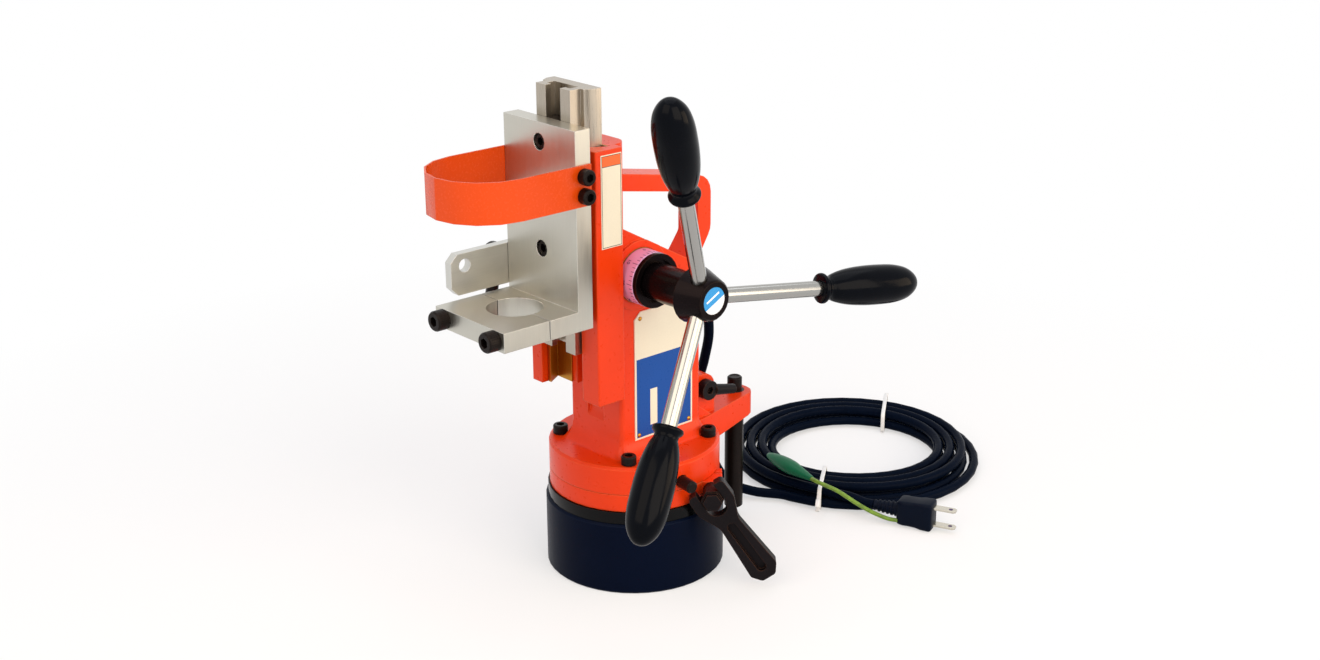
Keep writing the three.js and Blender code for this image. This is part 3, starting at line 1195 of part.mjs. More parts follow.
// Path through chosen points
const pathThrough = (points) =>
  new THREE.CatmullRomCurve3(points.map(([x, y, z]) => new THREE.Vector3(x, y, z)), false, 'centripetal');

function tube(path, radius, sides, steps) {
  const section = new THREE.Shape(regularCorners(sides, radius).map(([a, b]) => new THREE.Vector2(a, b)));
  return new THREE.ExtrudeGeometry(section, { extrudePath: path, steps, bevelEnabled: false });
}

// Cord coil: one layer spirals in on the ties, climbs, and the next spirals out again
class CoilPath extends THREE.Curve {
  getPoint(share, target = new THREE.Vector3()) {
    const inwardTurns = (coilOuterRadius - coilInnerRadius) / coilPitch;
    const turn = share * coilTurns;
    const angle = coilEntryAngle + 2 * Math.PI * turn;
    const climb = THREE.MathUtils.smoothstep(turn, inwardTurns - coilClimbTurns, inwardTurns + coilClimbTurns);
    const radius = coilInnerRadius + coilPitch * Math.abs(turn - inwardTurns);
    const z = coilLift + cordRadius + coilLayerRise * climb;
    return target.set(coilCentre.x + radius * Math.cos(angle), coilCentre.y + radius * Math.sin(angle), z);
  }
}

// Least distance between parts of the path that are not neighbours, less the cord's thickness
function leastGap(path) {
  const count = Math.round(coilTurns * coilStepsPerLoop);
  const points = path.getSpacedPoints(count);
  let least = Infinity;
  for (let i = 0; i < points.length; i += 1) {
    for (let j = i + coilStepsPerLoop / 2; j < points.length; j += 1) {
      least = Math.min(least, points[i].distanceTo(points[j]));
    }
  }
  return least - 2 * cordRadius;
}

function buildCord(group) {
  addPiece(group, 'cord_gland', revolved(alongY, [
    [0, columnRearY - glandPlugDepth], [glandPlugRadius, columnRearY - glandPlugDepth],
    [glandPlugRadius, columnRearY + seatGap], [glandFlangeRadius, columnRearY + seatGap],
    [glandFlangeRadius, columnRearY + seatGap + glandFlangeLength],
    [glandTaperRadius + glandTaperGrowth, columnRearY + seatGap + glandFlangeLength],
    [glandTaperRadius, columnRearY + seatGap + glandFlangeLength + glandTaperLength],
    [0, columnRearY + seatGap + glandFlangeLength + glandTaperLength],
  ], smallSides, glandZ, glandX), rubber);
  const coilPath = new CoilPath();
  console.log(`cord coil: least gap to itself ${leastGap(coilPath).toFixed(2)} mm`);
  const coil = tube(coilPath, cordRadius, coilSides, Math.round(coilTurns * coilStepsPerLoop));
  addPiece(group, 'cord_coil', solidFrom(coil), rubber);
  const glandEndY = columnRearY + seatGap + glandFlangeLength + glandTaperLength + seatGap;
  const coilStart = coilPath.getPoint(0);
  const leadTangent = coilPath.getTangent(0).setZ(0).normalize();
  const leadEnd = coilStart.clone().addScaledVector(leadTangent, -2 * seatGap);
  const leadNear = coilStart.clone().addScaledVector(leadTangent, -2 * cordRadius);
  const lead = pathThrough([
    [glandX, glandEndY, glandZ], [glandX, glandEndY + 2 * cordRadius, glandZ],
    [-7, 72, 158], [-9, 76.5, 140], [-17, 80, 118], [-27, 84, 96], [-31, 90, 72], [-31, 96, 48],
    [-29, 102, 27], [-22, 111, 11], [-8, 121, 6], leadNear.toArray(), leadEnd.toArray(),
  ]);
  addPiece(group, 'cord_lead', solidFrom(tube(lead, cordRadius, cordSides, leadSteps)), rubber);
  buildTies(group);
  buildPlug(group, coilPath);
}

// Bands round the whole pile of loops, each with a twisted tail
function buildTies(group) {
  const inner = coilInnerRadius - cordRadius - coilPitch / 4;
  const outer = coilOuterRadius + cordRadius + seatGap;
  const low = tieFloorGap + tieThickness;
  const high = coilLift + 2 * cordRadius + coilLayerRise + seatGap;
  Object.entries(tiePlaces).forEach(([place, { angle, slant }]) => {
    const axes = new THREE.Matrix4().makeTranslation(coilCentre.x, coilCentre.y, 0)
      .multiply(new THREE.Matrix4().makeRotationZ(angle))
      .multiply(new THREE.Matrix4().makeTranslation((inner + outer) / 2, 0, 0))
      .multiply(new THREE.Matrix4().makeRotationZ(slant))
      .multiply(new THREE.Matrix4().makeBasis(new THREE.Vector3(1, 0, 0), new THREE.Vector3(0, 0, 1),
        new THREE.Vector3(0, -1, 0)));
    const reach = (outer - inner) / 2 / Math.cos(slant);
    const band = cut(
      extruded(axes, rectangle(-reach - tieThickness, reach + tieThickness, low - tieThickness,
        high + tieThickness, 2 * tieThickness), -tieWidth / 2, tieWidth / 2),
      extruded(axes, rectangle(-reach, reach, low, high, tieThickness), -tieWidth, tieWidth),
    );
    const tailEnd = reach + tieThickness + tieTailLength;
    const tail = extruded(axes, [
      [reach + tieThickness / 2, high - tieTailRadius], [tailEnd, high / 2],
      [tailEnd, high / 2 + tieTailRadius], [reach + tieThickness / 2, high + tieTailRadius / 2],
    ], -tieTailRadius, tieTailRadius);
    addPiece(group, `cord_tie_${place}`, joined(band, tail), tieWhite);
  });
}

function buildPlug(group, coilPath) {
  const plug = new THREE.Group();
  plug.position.set(plugPlace.x, plugPlace.y, plugPlace.z);
  plug.rotation.set(Math.PI / 2, 0, plugHeading, 'ZYX'); // it lies on its narrow side
  group.add(plug);
  const halfWidth = plugWidth / 2;
  const shell = extruded(alongZ, [
    [-plugLength / 2, -halfWidth * plugTaperShare, plugCorner], [plugLength / 2, -halfWidth, plugCorner],
    [plugLength / 2, halfWidth, plugCorner], [-plugLength / 2, halfWidth * plugTaperShare, plugCorner],
  ], -plugThickness / 2, plugThickness / 2);
  const neck = bar(alongX, plugNeckRadius, -plugLength / 2 - plugNeckLength, 0);
  const blades = [-1, 1].map((side) => cut(
    block(plugLength / 4, plugLength / 2 + bladeLength,
      side * bladePitch / 2 - bladeThickness / 2, side * bladePitch / 2 + bladeThickness / 2,
      -bladeWidth / 2, bladeWidth / 2),
    bar(alongY, bladeHoleRadius, -plugWidth, plugWidth, 0, plugLength / 2 + bladeLength - bladeHoleInset),
  ));
  addPiece(plug, 'mains_plug', joined(shell, neck, ...blades), rubber);
  plug.updateMatrixWorld(true);
  const behind = (along) =>
    new THREE.Vector3(-plugLength / 2 - plugNeckLength - along, 0, 0).applyMatrix4(plug.matrixWorld).toArray();
  const coilEnd = coilPath.getPoint(1);
  const tangent = coilPath.getTangent(1).setZ(0).normalize();
  const off = (distance) => coilEnd.clone().addScaledVector(tangent, distance).toArray();
  const tail = pathThrough([
    off(2 * seatGap), off(2 * cordRadius), [43.7, 151.3, 12.8], [57.7, 155.6, 12.7], behind(2 * cordRadius),
    behind(2 * seatGap),
  ]);
  addPiece(group, 'cord_tail', solidFrom(tube(tail, cordRadius, cordSides, tailSteps)), rubber);
  buildEarth(group, plug);
}

// Earth clip in its green boot, lying on the coil, and its wire from the plug
function buildEarth(group, plug) {
  const place = new THREE.Matrix4().makeTranslation(earthClipPlace.x, earthClipPlace.y, earthClipPlace.z)
    .multiply(new THREE.Matrix4().makeRotationZ(earthClipHeading));
  const half = earthClipLength / 2;
  const boot = revolved(place.clone().multiply(alongX), [
    [0, -half], ...earthClipProfileShares.map(([along, radius]) => [earthClipRadius * radius, half * along]),
    [0, half],
  ], smallSides);
  const clipAt = (along) => new THREE.Vector3(-half - along, 0, 0).applyMatrix4(place).toArray();
  const plugAt = (along) => new THREE.Vector3(-plugLength / 2 - along, -earthWirePlace, earthWirePlace)
    .applyMatrix4(plug.matrixWorld).toArray();
  const wire = pathThrough([
    plugAt(2 * seatGap), plugAt(4 * earthWireRadius), [75.7, 154.2, 9], [65.7, 149.2, 14], [53.7, 144.2, 20],
    clipAt(4 * earthWireRadius), clipAt(-4 * earthWireRadius),
  ]);
  addPiece(group, 'earth_lead', joined(boot, solidFrom(tube(wire, earthWireRadius, coilSides, earthWireSteps))), earthGreen);
}

const stand = new THREE.Group();
const base = new THREE.Group();
const column = new THREE.Group();
const slide = new THREE.Group();
stand.add(base, column, slide);

buildBase(base);
buildSwivelPlate(column);
buildCasting(column);
buildGuideFittings(column);
buildColumnFittings(column);
buildSwitch(column);
buildSlide(slide);
buildBracket(slide);
buildGuard(slide);
buildSideArm(slide);
buildCapstan(column);
buildClamp(column);
buildJack(column);
buildCord(column);

export default stand;
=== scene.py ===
"""Looks of a magnetic drill stand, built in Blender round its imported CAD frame.

The CAD nodes keep their shapes and get their finishes. Pieces that turn, curl or carry small
detail are modelled here in millimetres, in the same frame, and ride on the CAD body that
carries them.
"""

import logging
import math
from dataclasses import dataclass, replace
from enum import Enum

import bmesh
import bpy
from bmesh.types import BMEdge, BMesh, BMFace, BMVert
from bpy.types import ID, Curve, Material, Node, NodeSocket, NodeTree, Object, World
from mathutils import Matrix, Vector

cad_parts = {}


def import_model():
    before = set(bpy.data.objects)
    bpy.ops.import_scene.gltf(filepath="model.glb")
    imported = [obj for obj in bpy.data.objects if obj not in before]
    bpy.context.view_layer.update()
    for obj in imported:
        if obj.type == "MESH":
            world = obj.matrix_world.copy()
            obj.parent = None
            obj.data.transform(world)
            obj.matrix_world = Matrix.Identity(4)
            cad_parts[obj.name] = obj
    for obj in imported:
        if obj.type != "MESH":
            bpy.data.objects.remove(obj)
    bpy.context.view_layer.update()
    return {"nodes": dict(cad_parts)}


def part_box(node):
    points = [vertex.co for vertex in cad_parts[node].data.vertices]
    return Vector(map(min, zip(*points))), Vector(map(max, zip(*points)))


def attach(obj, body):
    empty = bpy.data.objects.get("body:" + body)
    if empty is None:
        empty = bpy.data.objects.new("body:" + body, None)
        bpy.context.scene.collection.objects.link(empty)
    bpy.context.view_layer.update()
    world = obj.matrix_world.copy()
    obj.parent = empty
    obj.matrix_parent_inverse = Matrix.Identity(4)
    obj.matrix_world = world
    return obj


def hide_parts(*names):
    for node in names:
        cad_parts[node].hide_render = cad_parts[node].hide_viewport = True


Pair = tuple[float, float]
Point = tuple[float, float, float]

LOG = logging.getLogger("drill_stand")
MM = 0.001  # metres in a millimetre
SHARP_ANGLE = math.radians(32)
X, Y, Z = Vector((1, 0, 0)), Vector((0, 1, 0)), Vector((0, 0, 1))


# ---------------------------------------------------------------- helpers


def linear(hex_colour: str) -> tuple[float, float, float, float]:
    """Turns an sRGB hex colour into the linear values that sockets take.

    Args:
        hex_colour: Six hex digits after a hash.

    Returns:
        Red, green, blue and an alpha of one.
    """
    parts = [int(hex_colour[i : i + 2], 16) / 255 for i in (1, 3, 5)]
    red, green, blue = (p / 12.92 if p <= 0.04045 else ((p + 0.055) / 1.055) ** 2.4 for p in parts)
    return red, green, blue, 1.0


def emptied(owner: Material | World) -> NodeTree:
    """Turns on the nodes of a material or a world, and clears them.

    Args:
        owner: The material or the world.

    Returns:
        Its node tree, empty.
    """
    owner.use_nodes = True
    owner.node_tree.nodes.clear()
    return owner.node_tree


def add_node(tree: NodeTree, kind: str, values: dict[str | int, object] | None = None) -> Node:
    """Adds a node with its settings and links.

    Args:
        tree: The node tree that gets the node.
        kind: The node's type name.
        values: By socket name, socket number or property name, a plain value, an output to
            link, or a node whose first output is linked.

    Returns:
        The new node.
    """
    made = tree.nodes.new(kind)
    for name, value in (values or {}).items():
        source = value.outputs[0] if isinstance(value, Node) else value
        if isinstance(source, NodeSocket):
            tree.links.new(source, made.inputs[name])
        elif isinstance(name, str) and name not in made.inputs:
            setattr(made, name, value)
        else:
            made.inputs[name].default_value = value
    return made


def shown(name: str, data: ID) -> Object:
    """Makes an object and puts it in the scene.

    Args:
        name: The object's name.
        data: What it shows.

    Returns:
        The object.
    """
    made = bpy.data.objects.new(name, data)
    bpy.context.scene.collection.objects.link(made)
    return made


def facing(direction: Vector, up: Vector | None = None) -> Matrix:
    """Gives the turn that takes Z to a direction.

    Args:
        direction: Where Z points afterwards.
        up: Where Y points afterwards, as nearly as it can.

    Returns:
        A 4x4 rotation.
    """
    z = direction.normalized()
    if up is None:
        return z.to_track_quat("Z", "Y").to_matrix().to_4x4()
    x = up.cross(z).normalized()
    return Matrix((x, z.cross(x), z)).transposed().to_4x4()


def moved(x: float, y: float, z: float) -> Matrix:
    """Gives a move without a turn."""
    return Matrix.Translation((x, y, z))


def turned(degrees: float) -> Matrix:
    """Gives a turn about Z."""
    return Matrix.Rotation(math.radians(degrees), 4, "Z")


def heading(degrees: float) -> Vector:
    """Gives the level direction at an angle from X."""
    return Vector((math.cos(math.radians(degrees)), math.sin(math.radians(degrees)), 0))


ONTO_X = facing(X, Z)  # Z goes to X, and a drawing on the XY plane to the YZ plane
ONTO_Y = facing(Y, Z)  # Z goes to Y
UPRIGHT = facing(-Y, Z)  # a drawing on the XY plane goes to the XZ plane


def centripetal(points: list[Vector], steps: int) -> list[Vector]:
    """Samples the smooth curve through a route's points.

    Args:
        points: The points that the curve passes.
        steps: Samples on each stretch between two points.

    Returns:
        The samples, from the first point to the last.
    """
    ends = [2 * points[0] - points[1], *points, 2 * points[-1] - points[-2]]
    samples = []
    for i in range(1, len(ends) - 2):
        p0, p1, p2, p3 = ends[i - 1 : i + 3]
        t1 = math.sqrt((p1 - p0).length)
        t2 = t1 + math.sqrt((p2 - p1).length)
        t3 = t2 + math.sqrt((p3 - p2).length)
        for k in range(steps):
            t = t1 + (t2 - t1) * k / steps
            a1 = p0.lerp(p1, t / t1)
            a2 = p1.lerp(p2, (t - t1) / (t2 - t1))
            a3 = p2.lerp(p3, (t - t2) / (t3 - t2))
            b1 = a1.lerp(a2, t / t2)
            b2 = a2.lerp(a3, (t - t1) / (t3 - t1))
            samples.append(b1.lerp(b2, (t - t1) / (t2 - t1)))
    return [*samples, points[-1].copy()]


def picked(parts: list, kind: type) -> list:
    """Picks the parts of one kind out of what an operator made."""
    return [part for part in parts if isinstance(part, kind)]


def welded(bm: BMesh) -> BMesh:
    """Joins corners that coincide, drops loose edges and turns every face outward.

    Args:
        bm: The shape.

    Returns:
        The same shape.
    """
    bmesh.ops.remove_doubles(bm, verts=bm.verts, dist=1e-5)
    bmesh.ops.delete(bm, geom=[edge for edge in bm.edges if edge.is_wire], context="EDGES")
    bmesh.ops.recalc_face_normals(bm, faces=bm.faces)
    return bm


def opened(bm: BMesh) -> None:
    """Takes out the faces that repeated extrusion leaves inside, and turns the rest outward.

    Args:
        bm: The shape.
    """
    inner = [face for face in bm.faces if all(len(edge.link_faces) > 2 for edge in face.edges)]
    bmesh.ops.delete(bm, geom=inner, context="FACES_ONLY")
    bmesh.ops.recalc_face_normals(bm, faces=bm.faces)


def spun(profile: list[Pair], steps: int = 48) -> BMesh:
    """Spins a profile a full turn about Z.

    Args:
        profile: Radius and height of each point, in millimetres.
        steps: Faces round the turn.

    Returns:
        The closed shape, in millimetres.
    """
    bm = bmesh.new()
    row = [bm.verts.new((radius, 0, height)) for radius, height in profile]
    edges = [bm.edges.new(pair) for pair in zip(row, row[1:])]
    bmesh.ops.spin(
        bm, geom=[*row, *edges], cent=(0, 0, 0), axis=Z, angle=2 * math.pi,
        steps=steps, use_merge=True,
    )
    return welded(bm)


def plate(corners: list[Pair], thickness: float, edge: float) -> BMesh:
    """Makes a flat plate on the XY plane, with its top edge eased.

    Args:
        corners: The outline, counter-clockwise, in millimetres.
        thickness: Its height along Z.
        edge: Width of the eased edge.

    Returns:
        The closed plate.
    """
    bm = bmesh.new()
    face = bm.faces.new([bm.verts.new((x, y, 0)) for x, y in corners])
    grown = bmesh.ops.extrude_face_region(bm, geom=[face], use_keep_orig=True)
    top = picked(grown["geom"], BMVert)
    bmesh.ops.translate(bm, verts=top, vec=Z * thickness)
    rim = [e for e in bm.edges if all(v in top for v in e.verts)]
    bmesh.ops.bevel(
        bm, geom=rim, offset=edge, segments=2, affect="EDGES", profile=0.5, material=-1
    )
    bmesh.ops.recalc_face_normals(bm, faces=bm.faces)
    return bm


def scored(bm: BMesh, cuts: list[tuple[Vector, float]]) -> None:
    """Cuts lines across a flat shape, so that its fields can take their own colours.

    Args:
        bm: The shape.
        cuts: The direction square to each line, and the line's distance along it.
    """
    for normal, distance in cuts:
        bmesh.ops.bisect_plane(
            bm, geom=[*bm.verts, *bm.edges, *bm.faces], plane_co=normal * distance,
            plane_no=normal,
        )


def inside(at: Vector, across: Pair, up: Pair) -> bool:
    """Tells whether a point of a flat shape lies in a field."""
    return across[0] < at.x < across[1] and up[0] < at.y < up[1]


def merged(shapes: list[BMesh]) -> BMesh:
    """Gathers several shapes in one, and frees them.

    Args:
        shapes: The shapes, freed here.

    Returns:
        The whole.
    """
    whole = bmesh.new()
    for shape in shapes:
        carrier = bpy.data.meshes.new("carrier")
        shape.to_mesh(carrier)
        shape.free()
        whole.from_mesh(carrier)
        bpy.data.meshes.remove(carrier)
    return whole


def meshed(curve: Curve) -> BMesh:
    """Turns a curve or a text into a shape, and frees it.

    Args:
        curve: The curve or the text, freed here.

    Returns:
        Its shape.
    """
    carrier = bpy.data.objects.new(curve.name, curve)
    mesh = bpy.data.meshes.new_from_object(carrier)
    bm = bmesh.new()
    bm.from_mesh(mesh)
    bpy.data.objects.remove(carrier)
    bpy.data.curves.remove(curve)
    bpy.data.meshes.remove(mesh)
    return bm


def add_spline(curve: Curve, points: list[Vector], closed: bool = False) -> None:
    """Adds a smoothly shaded run of points to a curve.

    Args:
        curve: The curve that gets the run.
        points: The run's points, in the curve's own units.
        closed: Whether the run ends where it starts.
    """
    spline = curve.splines.new("POLY")
    spline.points.add(len(points) - 1)
    for slot, point in zip(spline.points, points):
        slot.co = (*point, 1)
    spline.use_smooth, spline.use_cyclic_u = True, closed


def placed(bm: BMesh, matrix: Matrix) -> BMesh:
    """Moves a shape to its place and gives it back."""
    bmesh.ops.transform(bm, matrix=matrix, verts=bm.verts)
    return bm


def ribs(
    start: float, pitch: float, radius: float, taper: float, section: tuple[Pair, ...]
) -> list[Pair]:
    """Gives the profile of the five ribs of a strain relief, each slimmer than the last.

    Args:
        start: Height of the first rib.
        pitch: Step to the next one.
        radius: Radius of the first rib.
        taper: How much each loses against the one before.
        section: A rib's own points, as depth below its radius and height above its start.

    Returns:
        Radius and height of each point, in millimetres.
    """
    return [
        (radius - i * taper - depth, start + i * pitch + along)
        for i in range(5)
        for depth, along in section
    ]


# ---------------------------------------------------------------- finishes

PATCH_MM = 28.0  # size of the slow patches in a colour
GRAIN_BAND = (0.3, 0.7)  # values of a noise between which the roughness goes over
TONE_BAND = (0.35, 0.65)  # the same for the colour
EDGE_BAND = (0.985, 0.86)  # cosine between the true and the rounded normal, faint to full painted edge highlight and wear
WEAR_AND_HIGHLIGHT = 0.7  # strongest share of the edge's own paler colour, painted highlight and wear


class Grain(Enum):
    """How a surface was made, as the stretch of its pattern along X, Y and Z."""

    EVEN = (1.0, 1.0, 1.0)
    ALONG_X = (0.02, 1.0, 1.0)
    ALONG_Y = (1.0, 0.02, 1.0)
    ALONG_Z = (1.0, 1.0, 0.02)


@dataclass(frozen=True)
class Finish:
    """One real finish.

    Attributes:
        name: What the finish is.
        colour: Its colour as sRGB hex.
        grain: Direction of its pattern.
        grain_mm: Size of a grain of that pattern.
        relief_mm: Height of the pattern.
        tone: Share by which the colour wanders.
        metallic: One for a bare metal.
        roughness: Mean roughness.
        rough_span: How far the roughness wanders.
        gleam: Strength of the plain reflection, one half as the index gives it.
        edge_mm: Radius of the rounded edges, or nought where no edge is seen.
        edge_colour: Paler colour painted along the edges as a painted highlight, which on the lever
            and the aluminium also stands for rubbed, bright edges; or nothing.
    """

    name: str
    colour: str
    grain: Grain = Grain.EVEN
    grain_mm: float = 1.0
    relief_mm: float = 0.01
    tone: float = 0.1
    metallic: float = 0.0
    roughness: float = 0.4
    rough_span: float = 0.05
    gleam: float = 0.5
    edge_mm: float = 0.5
    edge_colour: str = ""

    def material(self) -> Material:
        """Builds the material, or gives it if it was built before.

        Returns:
            The finish's only material.
        """
        found = bpy.data.materials.get(self.name)
        if found:
            return found
        made = bpy.data.materials.new(self.name)
        tree = emptied(made)
        place = add_node(tree, "ShaderNodeTexCoord").outputs["Object"]
        stretch = add_node(tree, "ShaderNodeMapping", {"Vector": place, "Scale": self.grain.value})
        noises = ((stretch, self.grain_mm * MM, 1.5), (place, PATCH_MM * MM, 2.0))
        fine, broad = (
            add_node(
                tree, "ShaderNodeTexNoise", {"Vector": at, "Scale": 1 / size, "Detail": detail}
            )
            for at, size, detail in noises
        )
        colour = self.wandering(tree, broad, fine)
        low, high = (self.roughness + way * self.rough_span for way in (-1, 1))
        rough = add_node(
            tree, "ShaderNodeMapRange",
            {0: fine, 1: GRAIN_BAND[0], 2: GRAIN_BAND[1], 3: low, 4: high},
        )
        bump = add_node(
            tree, "ShaderNodeBump",
            {"Strength": 0.6, "Distance": self.relief_mm * MM, "Height": fine},
        )
        if self.edge_mm > 0:
            eased = add_node(tree, "ShaderNodeBevel", {"samples": 4, "Radius": self.edge_mm * MM})
            tree.links.new(eased.outputs[0], bump.inputs["Normal"])
            # paler edges in patches: a painted edge highlight, partly rubbed wear on the lever and
            # the aluminium
            if self.edge_colour:
                colour = self.wear_and_highlight(tree, colour, eased, broad)
        shader = add_node(
            tree, "ShaderNodeBsdfPrincipled",
            {
                "Base Color": colour, "Metallic": self.metallic, "Roughness": rough,
                "Specular IOR Level": self.gleam, "Normal": bump,
            },
        )
        add_node(tree, "ShaderNodeOutputMaterial", {"Surface": shader})
        return made

    def wandering(self, tree: NodeTree, broad: Node, fine: Node) -> NodeSocket:
        """Lets the colour wander a little, as a real batch of paint or metal does.

        Args:
            tree: The material's nodes.
            broad: A slow noise.
            fine: The grain's noise.

        Returns:
            The colour's output.
        """
        base = linear(self.colour)[:3]
        low, high = ([c * (1 + way * self.tone) for c in base] + [1] for way in (-1, 1))
        half = add_node(tree, "ShaderNodeMath", {"operation": "MULTIPLY", 0: fine, 1: 0.5})
        share = add_node(
            tree, "ShaderNodeMath", {"operation": "MULTIPLY_ADD", 0: broad, 1: 0.5, 2: half}
        )
        sharp = add_node(
            tree, "ShaderNodeMapRange",
            {0: share, 1: TONE_BAND[0], 2: TONE_BAND[1], 3: 0.0, 4: 1.0},
        )
        mix = add_node(tree, "ShaderNodeMix", {"data_type": "RGBA", 0: sharp, 6: low, 7: high})
        return mix.outputs[2]

    def wear_and_highlight(self, tree: NodeTree, colour: NodeSocket, eased: Node, broad: Node) -> NodeSocket:
        """Paints the rounded edges paler, in patches: a painted edge highlight, which on the lever
        and the aluminium also stands for rubbed, bright edges.

        Args:
            tree: The material's nodes.
            colour: The colour so far.
            eased: The normal with its edges rounded.
            broad: A slow noise that makes the patches.

        Returns:
            The colour's output.
        """
        true = add_node(tree, "ShaderNodeNewGeometry").outputs["Normal"]
        dot = add_node(
            tree, "ShaderNodeVectorMath", {"operation": "DOT_PRODUCT", 0: true, 1: eased}
        ).outputs["Value"]
        edge = add_node(
            tree, "ShaderNodeMapRange", {0: dot, 1: EDGE_BAND[0], 2: EDGE_BAND[1], 3: 0.0, 4: WEAR_AND_HIGHLIGHT}
        )
        patch = add_node(tree, "ShaderNodeMath", {"operation": "MULTIPLY", 0: edge, 1: broad})
        mix = add_node(
            tree, "ShaderNodeMix",
            {"data_type": "RGBA", 0: patch, 6: colour, 7: linear(self.edge_colour)},
        )
        return mix.outputs[2]


# Sand-cast iron under gloss enamel: a soft cast ripple of about 3 mm shows through the gloss. Its
# paler orange edge colour is a painted highlight.
CAST_ENAMEL = Finish(
    "gloss enamel on cast iron", "#E63A06", grain_mm=3.2, tone=0.02, roughness=0.3,
    rough_span=0.03, gleam=0.22, edge_mm=1.1, edge_colour="#FF8A4C",
)
# Sheet steel under the same enamel: smoother, with only the orange peel of the spray gun
SHEET_ENAMEL = Finish(
    "gloss enamel on sheet steel", "#E04A08", grain_mm=1.6, relief_mm=0.006, tone=0.015,
    roughness=0.26, rough_span=0.03, gleam=0.24, edge_mm=0.25,
)
# Satin stoving enamel on the turned magnet pot: navy black, with an even fine peel. Its paler blue
# edge colour is a painted highlight.
POT_ENAMEL = Finish(
    "satin stoving enamel", "#040C20", grain_mm=1.1, tone=0.12, roughness=0.36,
    rough_span=0.04, gleam=0.04, edge_mm=0.9, edge_colour="#24324A",
)
# Gloss black enamel of the swivel ring: darker and sharper than the pot below it
RING_ENAMEL = Finish(
    "gloss black enamel", "#030304", grain_mm=1.2, relief_mm=0.006, tone=0.06,
    roughness=0.14, rough_span=0.04, gleam=0.14,
)
# Turned steel of the shaft: even, with only a slight wander of its polish
TURNED_STEEL = Finish(
    "turned steel", "#9A9792", grain_mm=0.6, tone=0.08, metallic=1.0, roughness=0.32,
    rough_span=0.08,
)
# Surface-ground tool steel: fine lines along the travel, a warm grey. Its near-white edge colour is
# a painted highlight.
GROUND_STEEL = replace(
    TURNED_STEEL, name="surface ground steel", colour="#B0A79A", grain=Grain.ALONG_Z,
    grain_mm=0.4, relief_mm=0.006, roughness=0.34, edge_mm=0.4, edge_colour="#F0EAE0",
)
# Milled steel of the rack's teeth: darker and rougher, with the cutter's lines across it
MILLED_STEEL = replace(
    TURNED_STEEL, name="milled steel", colour="#6B6864", grain=Grain.ALONG_X, grain_mm=0.5,
    relief_mm=0.015, tone=0.12, roughness=0.42, rough_span=0.1,
)
# Turned bearing bronze: redder and duller than the brass
BUSH_BRONZE = replace(
    TURNED_STEEL, name="turned bearing bronze", colour="#A87440", tone=0.1, roughness=0.38
)
# Milled brass of the gib and the wear strip: yellow, with the cutter's lines along the travel
GIB_BRASS = replace(
    BUSH_BRONZE, name="milled brass", colour="#B9822F", grain=Grain.ALONG_Z, relief_mm=0.008,
    roughness=0.36, edge_mm=0.3,
)
# Brushed aluminium plate: fine lines up the plate, white along its edges, partly the bright broken
# edges and partly a painted highlight
PLATE_ALUMINIUM = Finish(
    "brushed aluminium plate", "#C3C0B6", Grain.ALONG_Z, grain_mm=0.35, relief_mm=0.004,
    tone=0.045, metallic=1.0, roughness=0.34, edge_colour="#FFFFFF",
)
# Brushed aluminium bar of the stay arm: the same metal, drawn along its length
BAR_ALUMINIUM = replace(
    PLATE_ALUMINIUM, name="brushed aluminium bar", colour="#CCCBC5", grain=Grain.ALONG_Y,
    edge_mm=0.4,
)
# Hard chrome on the feed rods: almost a mirror, with very faint polishing haze
ROD_CHROME = Finish(
    "hard chrome plate", "#A6A5A1", grain_mm=0.8, relief_mm=0.001, tone=0.02, metallic=1.0,
    roughness=0.16, rough_span=0.03, edge_mm=0,
)
# Nickel plate of the plug's blades: pale, slightly yellow, drawn along the blade
PIN_NICKEL = Finish(
    "nickel plated brass", "#D2CCBE", Grain.ALONG_X, grain_mm=0.5, relief_mm=0.004,
    tone=0.05, metallic=1.0, roughness=0.22, rough_span=0.06, edge_mm=0.2,
)
# Black oxide on alloy steel screws: a dark brown-black film that still reads as metal. Its greyer
# edge colour is a painted highlight.
BLACK_OXIDE = Finish(
    "black oxide on alloy steel", "#181210", grain_mm=0.7, tone=0.2, metallic=0.4,
    roughness=0.34, rough_span=0.08, gleam=0.15, edge_mm=0.35, edge_colour="#4A4440",
)
# Forged lever under the same film, paler brown along its edges: partly rubbed by hands, partly a
# painted warm highlight
WORN_OXIDE = Finish(
    "worn black oxide on a forging", "#181416", grain_mm=0.9, relief_mm=0.02, tone=0.2,
    metallic=0.5, roughness=0.42, rough_span=0.1, gleam=0.14, edge_mm=0.7,
    edge_colour="#6E4630",
)
# Turned and blued steel of the hub and the dial's sleeve: brown-black, glossier than the screws.
# Its paler brown edge colour is a painted warm highlight.
HUB_BLUING = Finish(
    "turned and blued steel", "#161011", grain_mm=0.8, relief_mm=0.003, tone=0.12,
    metallic=0.6, roughness=0.24, gleam=0.08, edge_colour="#5A4636",
)
# Polished phenolic resin of the handles: deep black and glassy, with faint flow
KNOB_PHENOLIC = Finish(
    "polished phenolic resin", "#04060C", grain_mm=7.0, relief_mm=0.015, roughness=0.17,
    rough_span=0.04, gleam=0.06, edge_mm=0,
)
# Moulded nylon: a fine spark texture
MOULDED_NYLON = Finish(
    "moulded black nylon", "#0B0C0E", grain_mm=0.5, relief_mm=0.02, tone=0.12,
    roughness=0.45, rough_span=0.08, gleam=0.2,
)
# Moulded red nylon of the switch: brighter and smoother than its frame
SWITCH_RED = Finish("moulded red nylon", "#C41F16", grain_mm=0.6, tone=0.05, roughness=0.3)
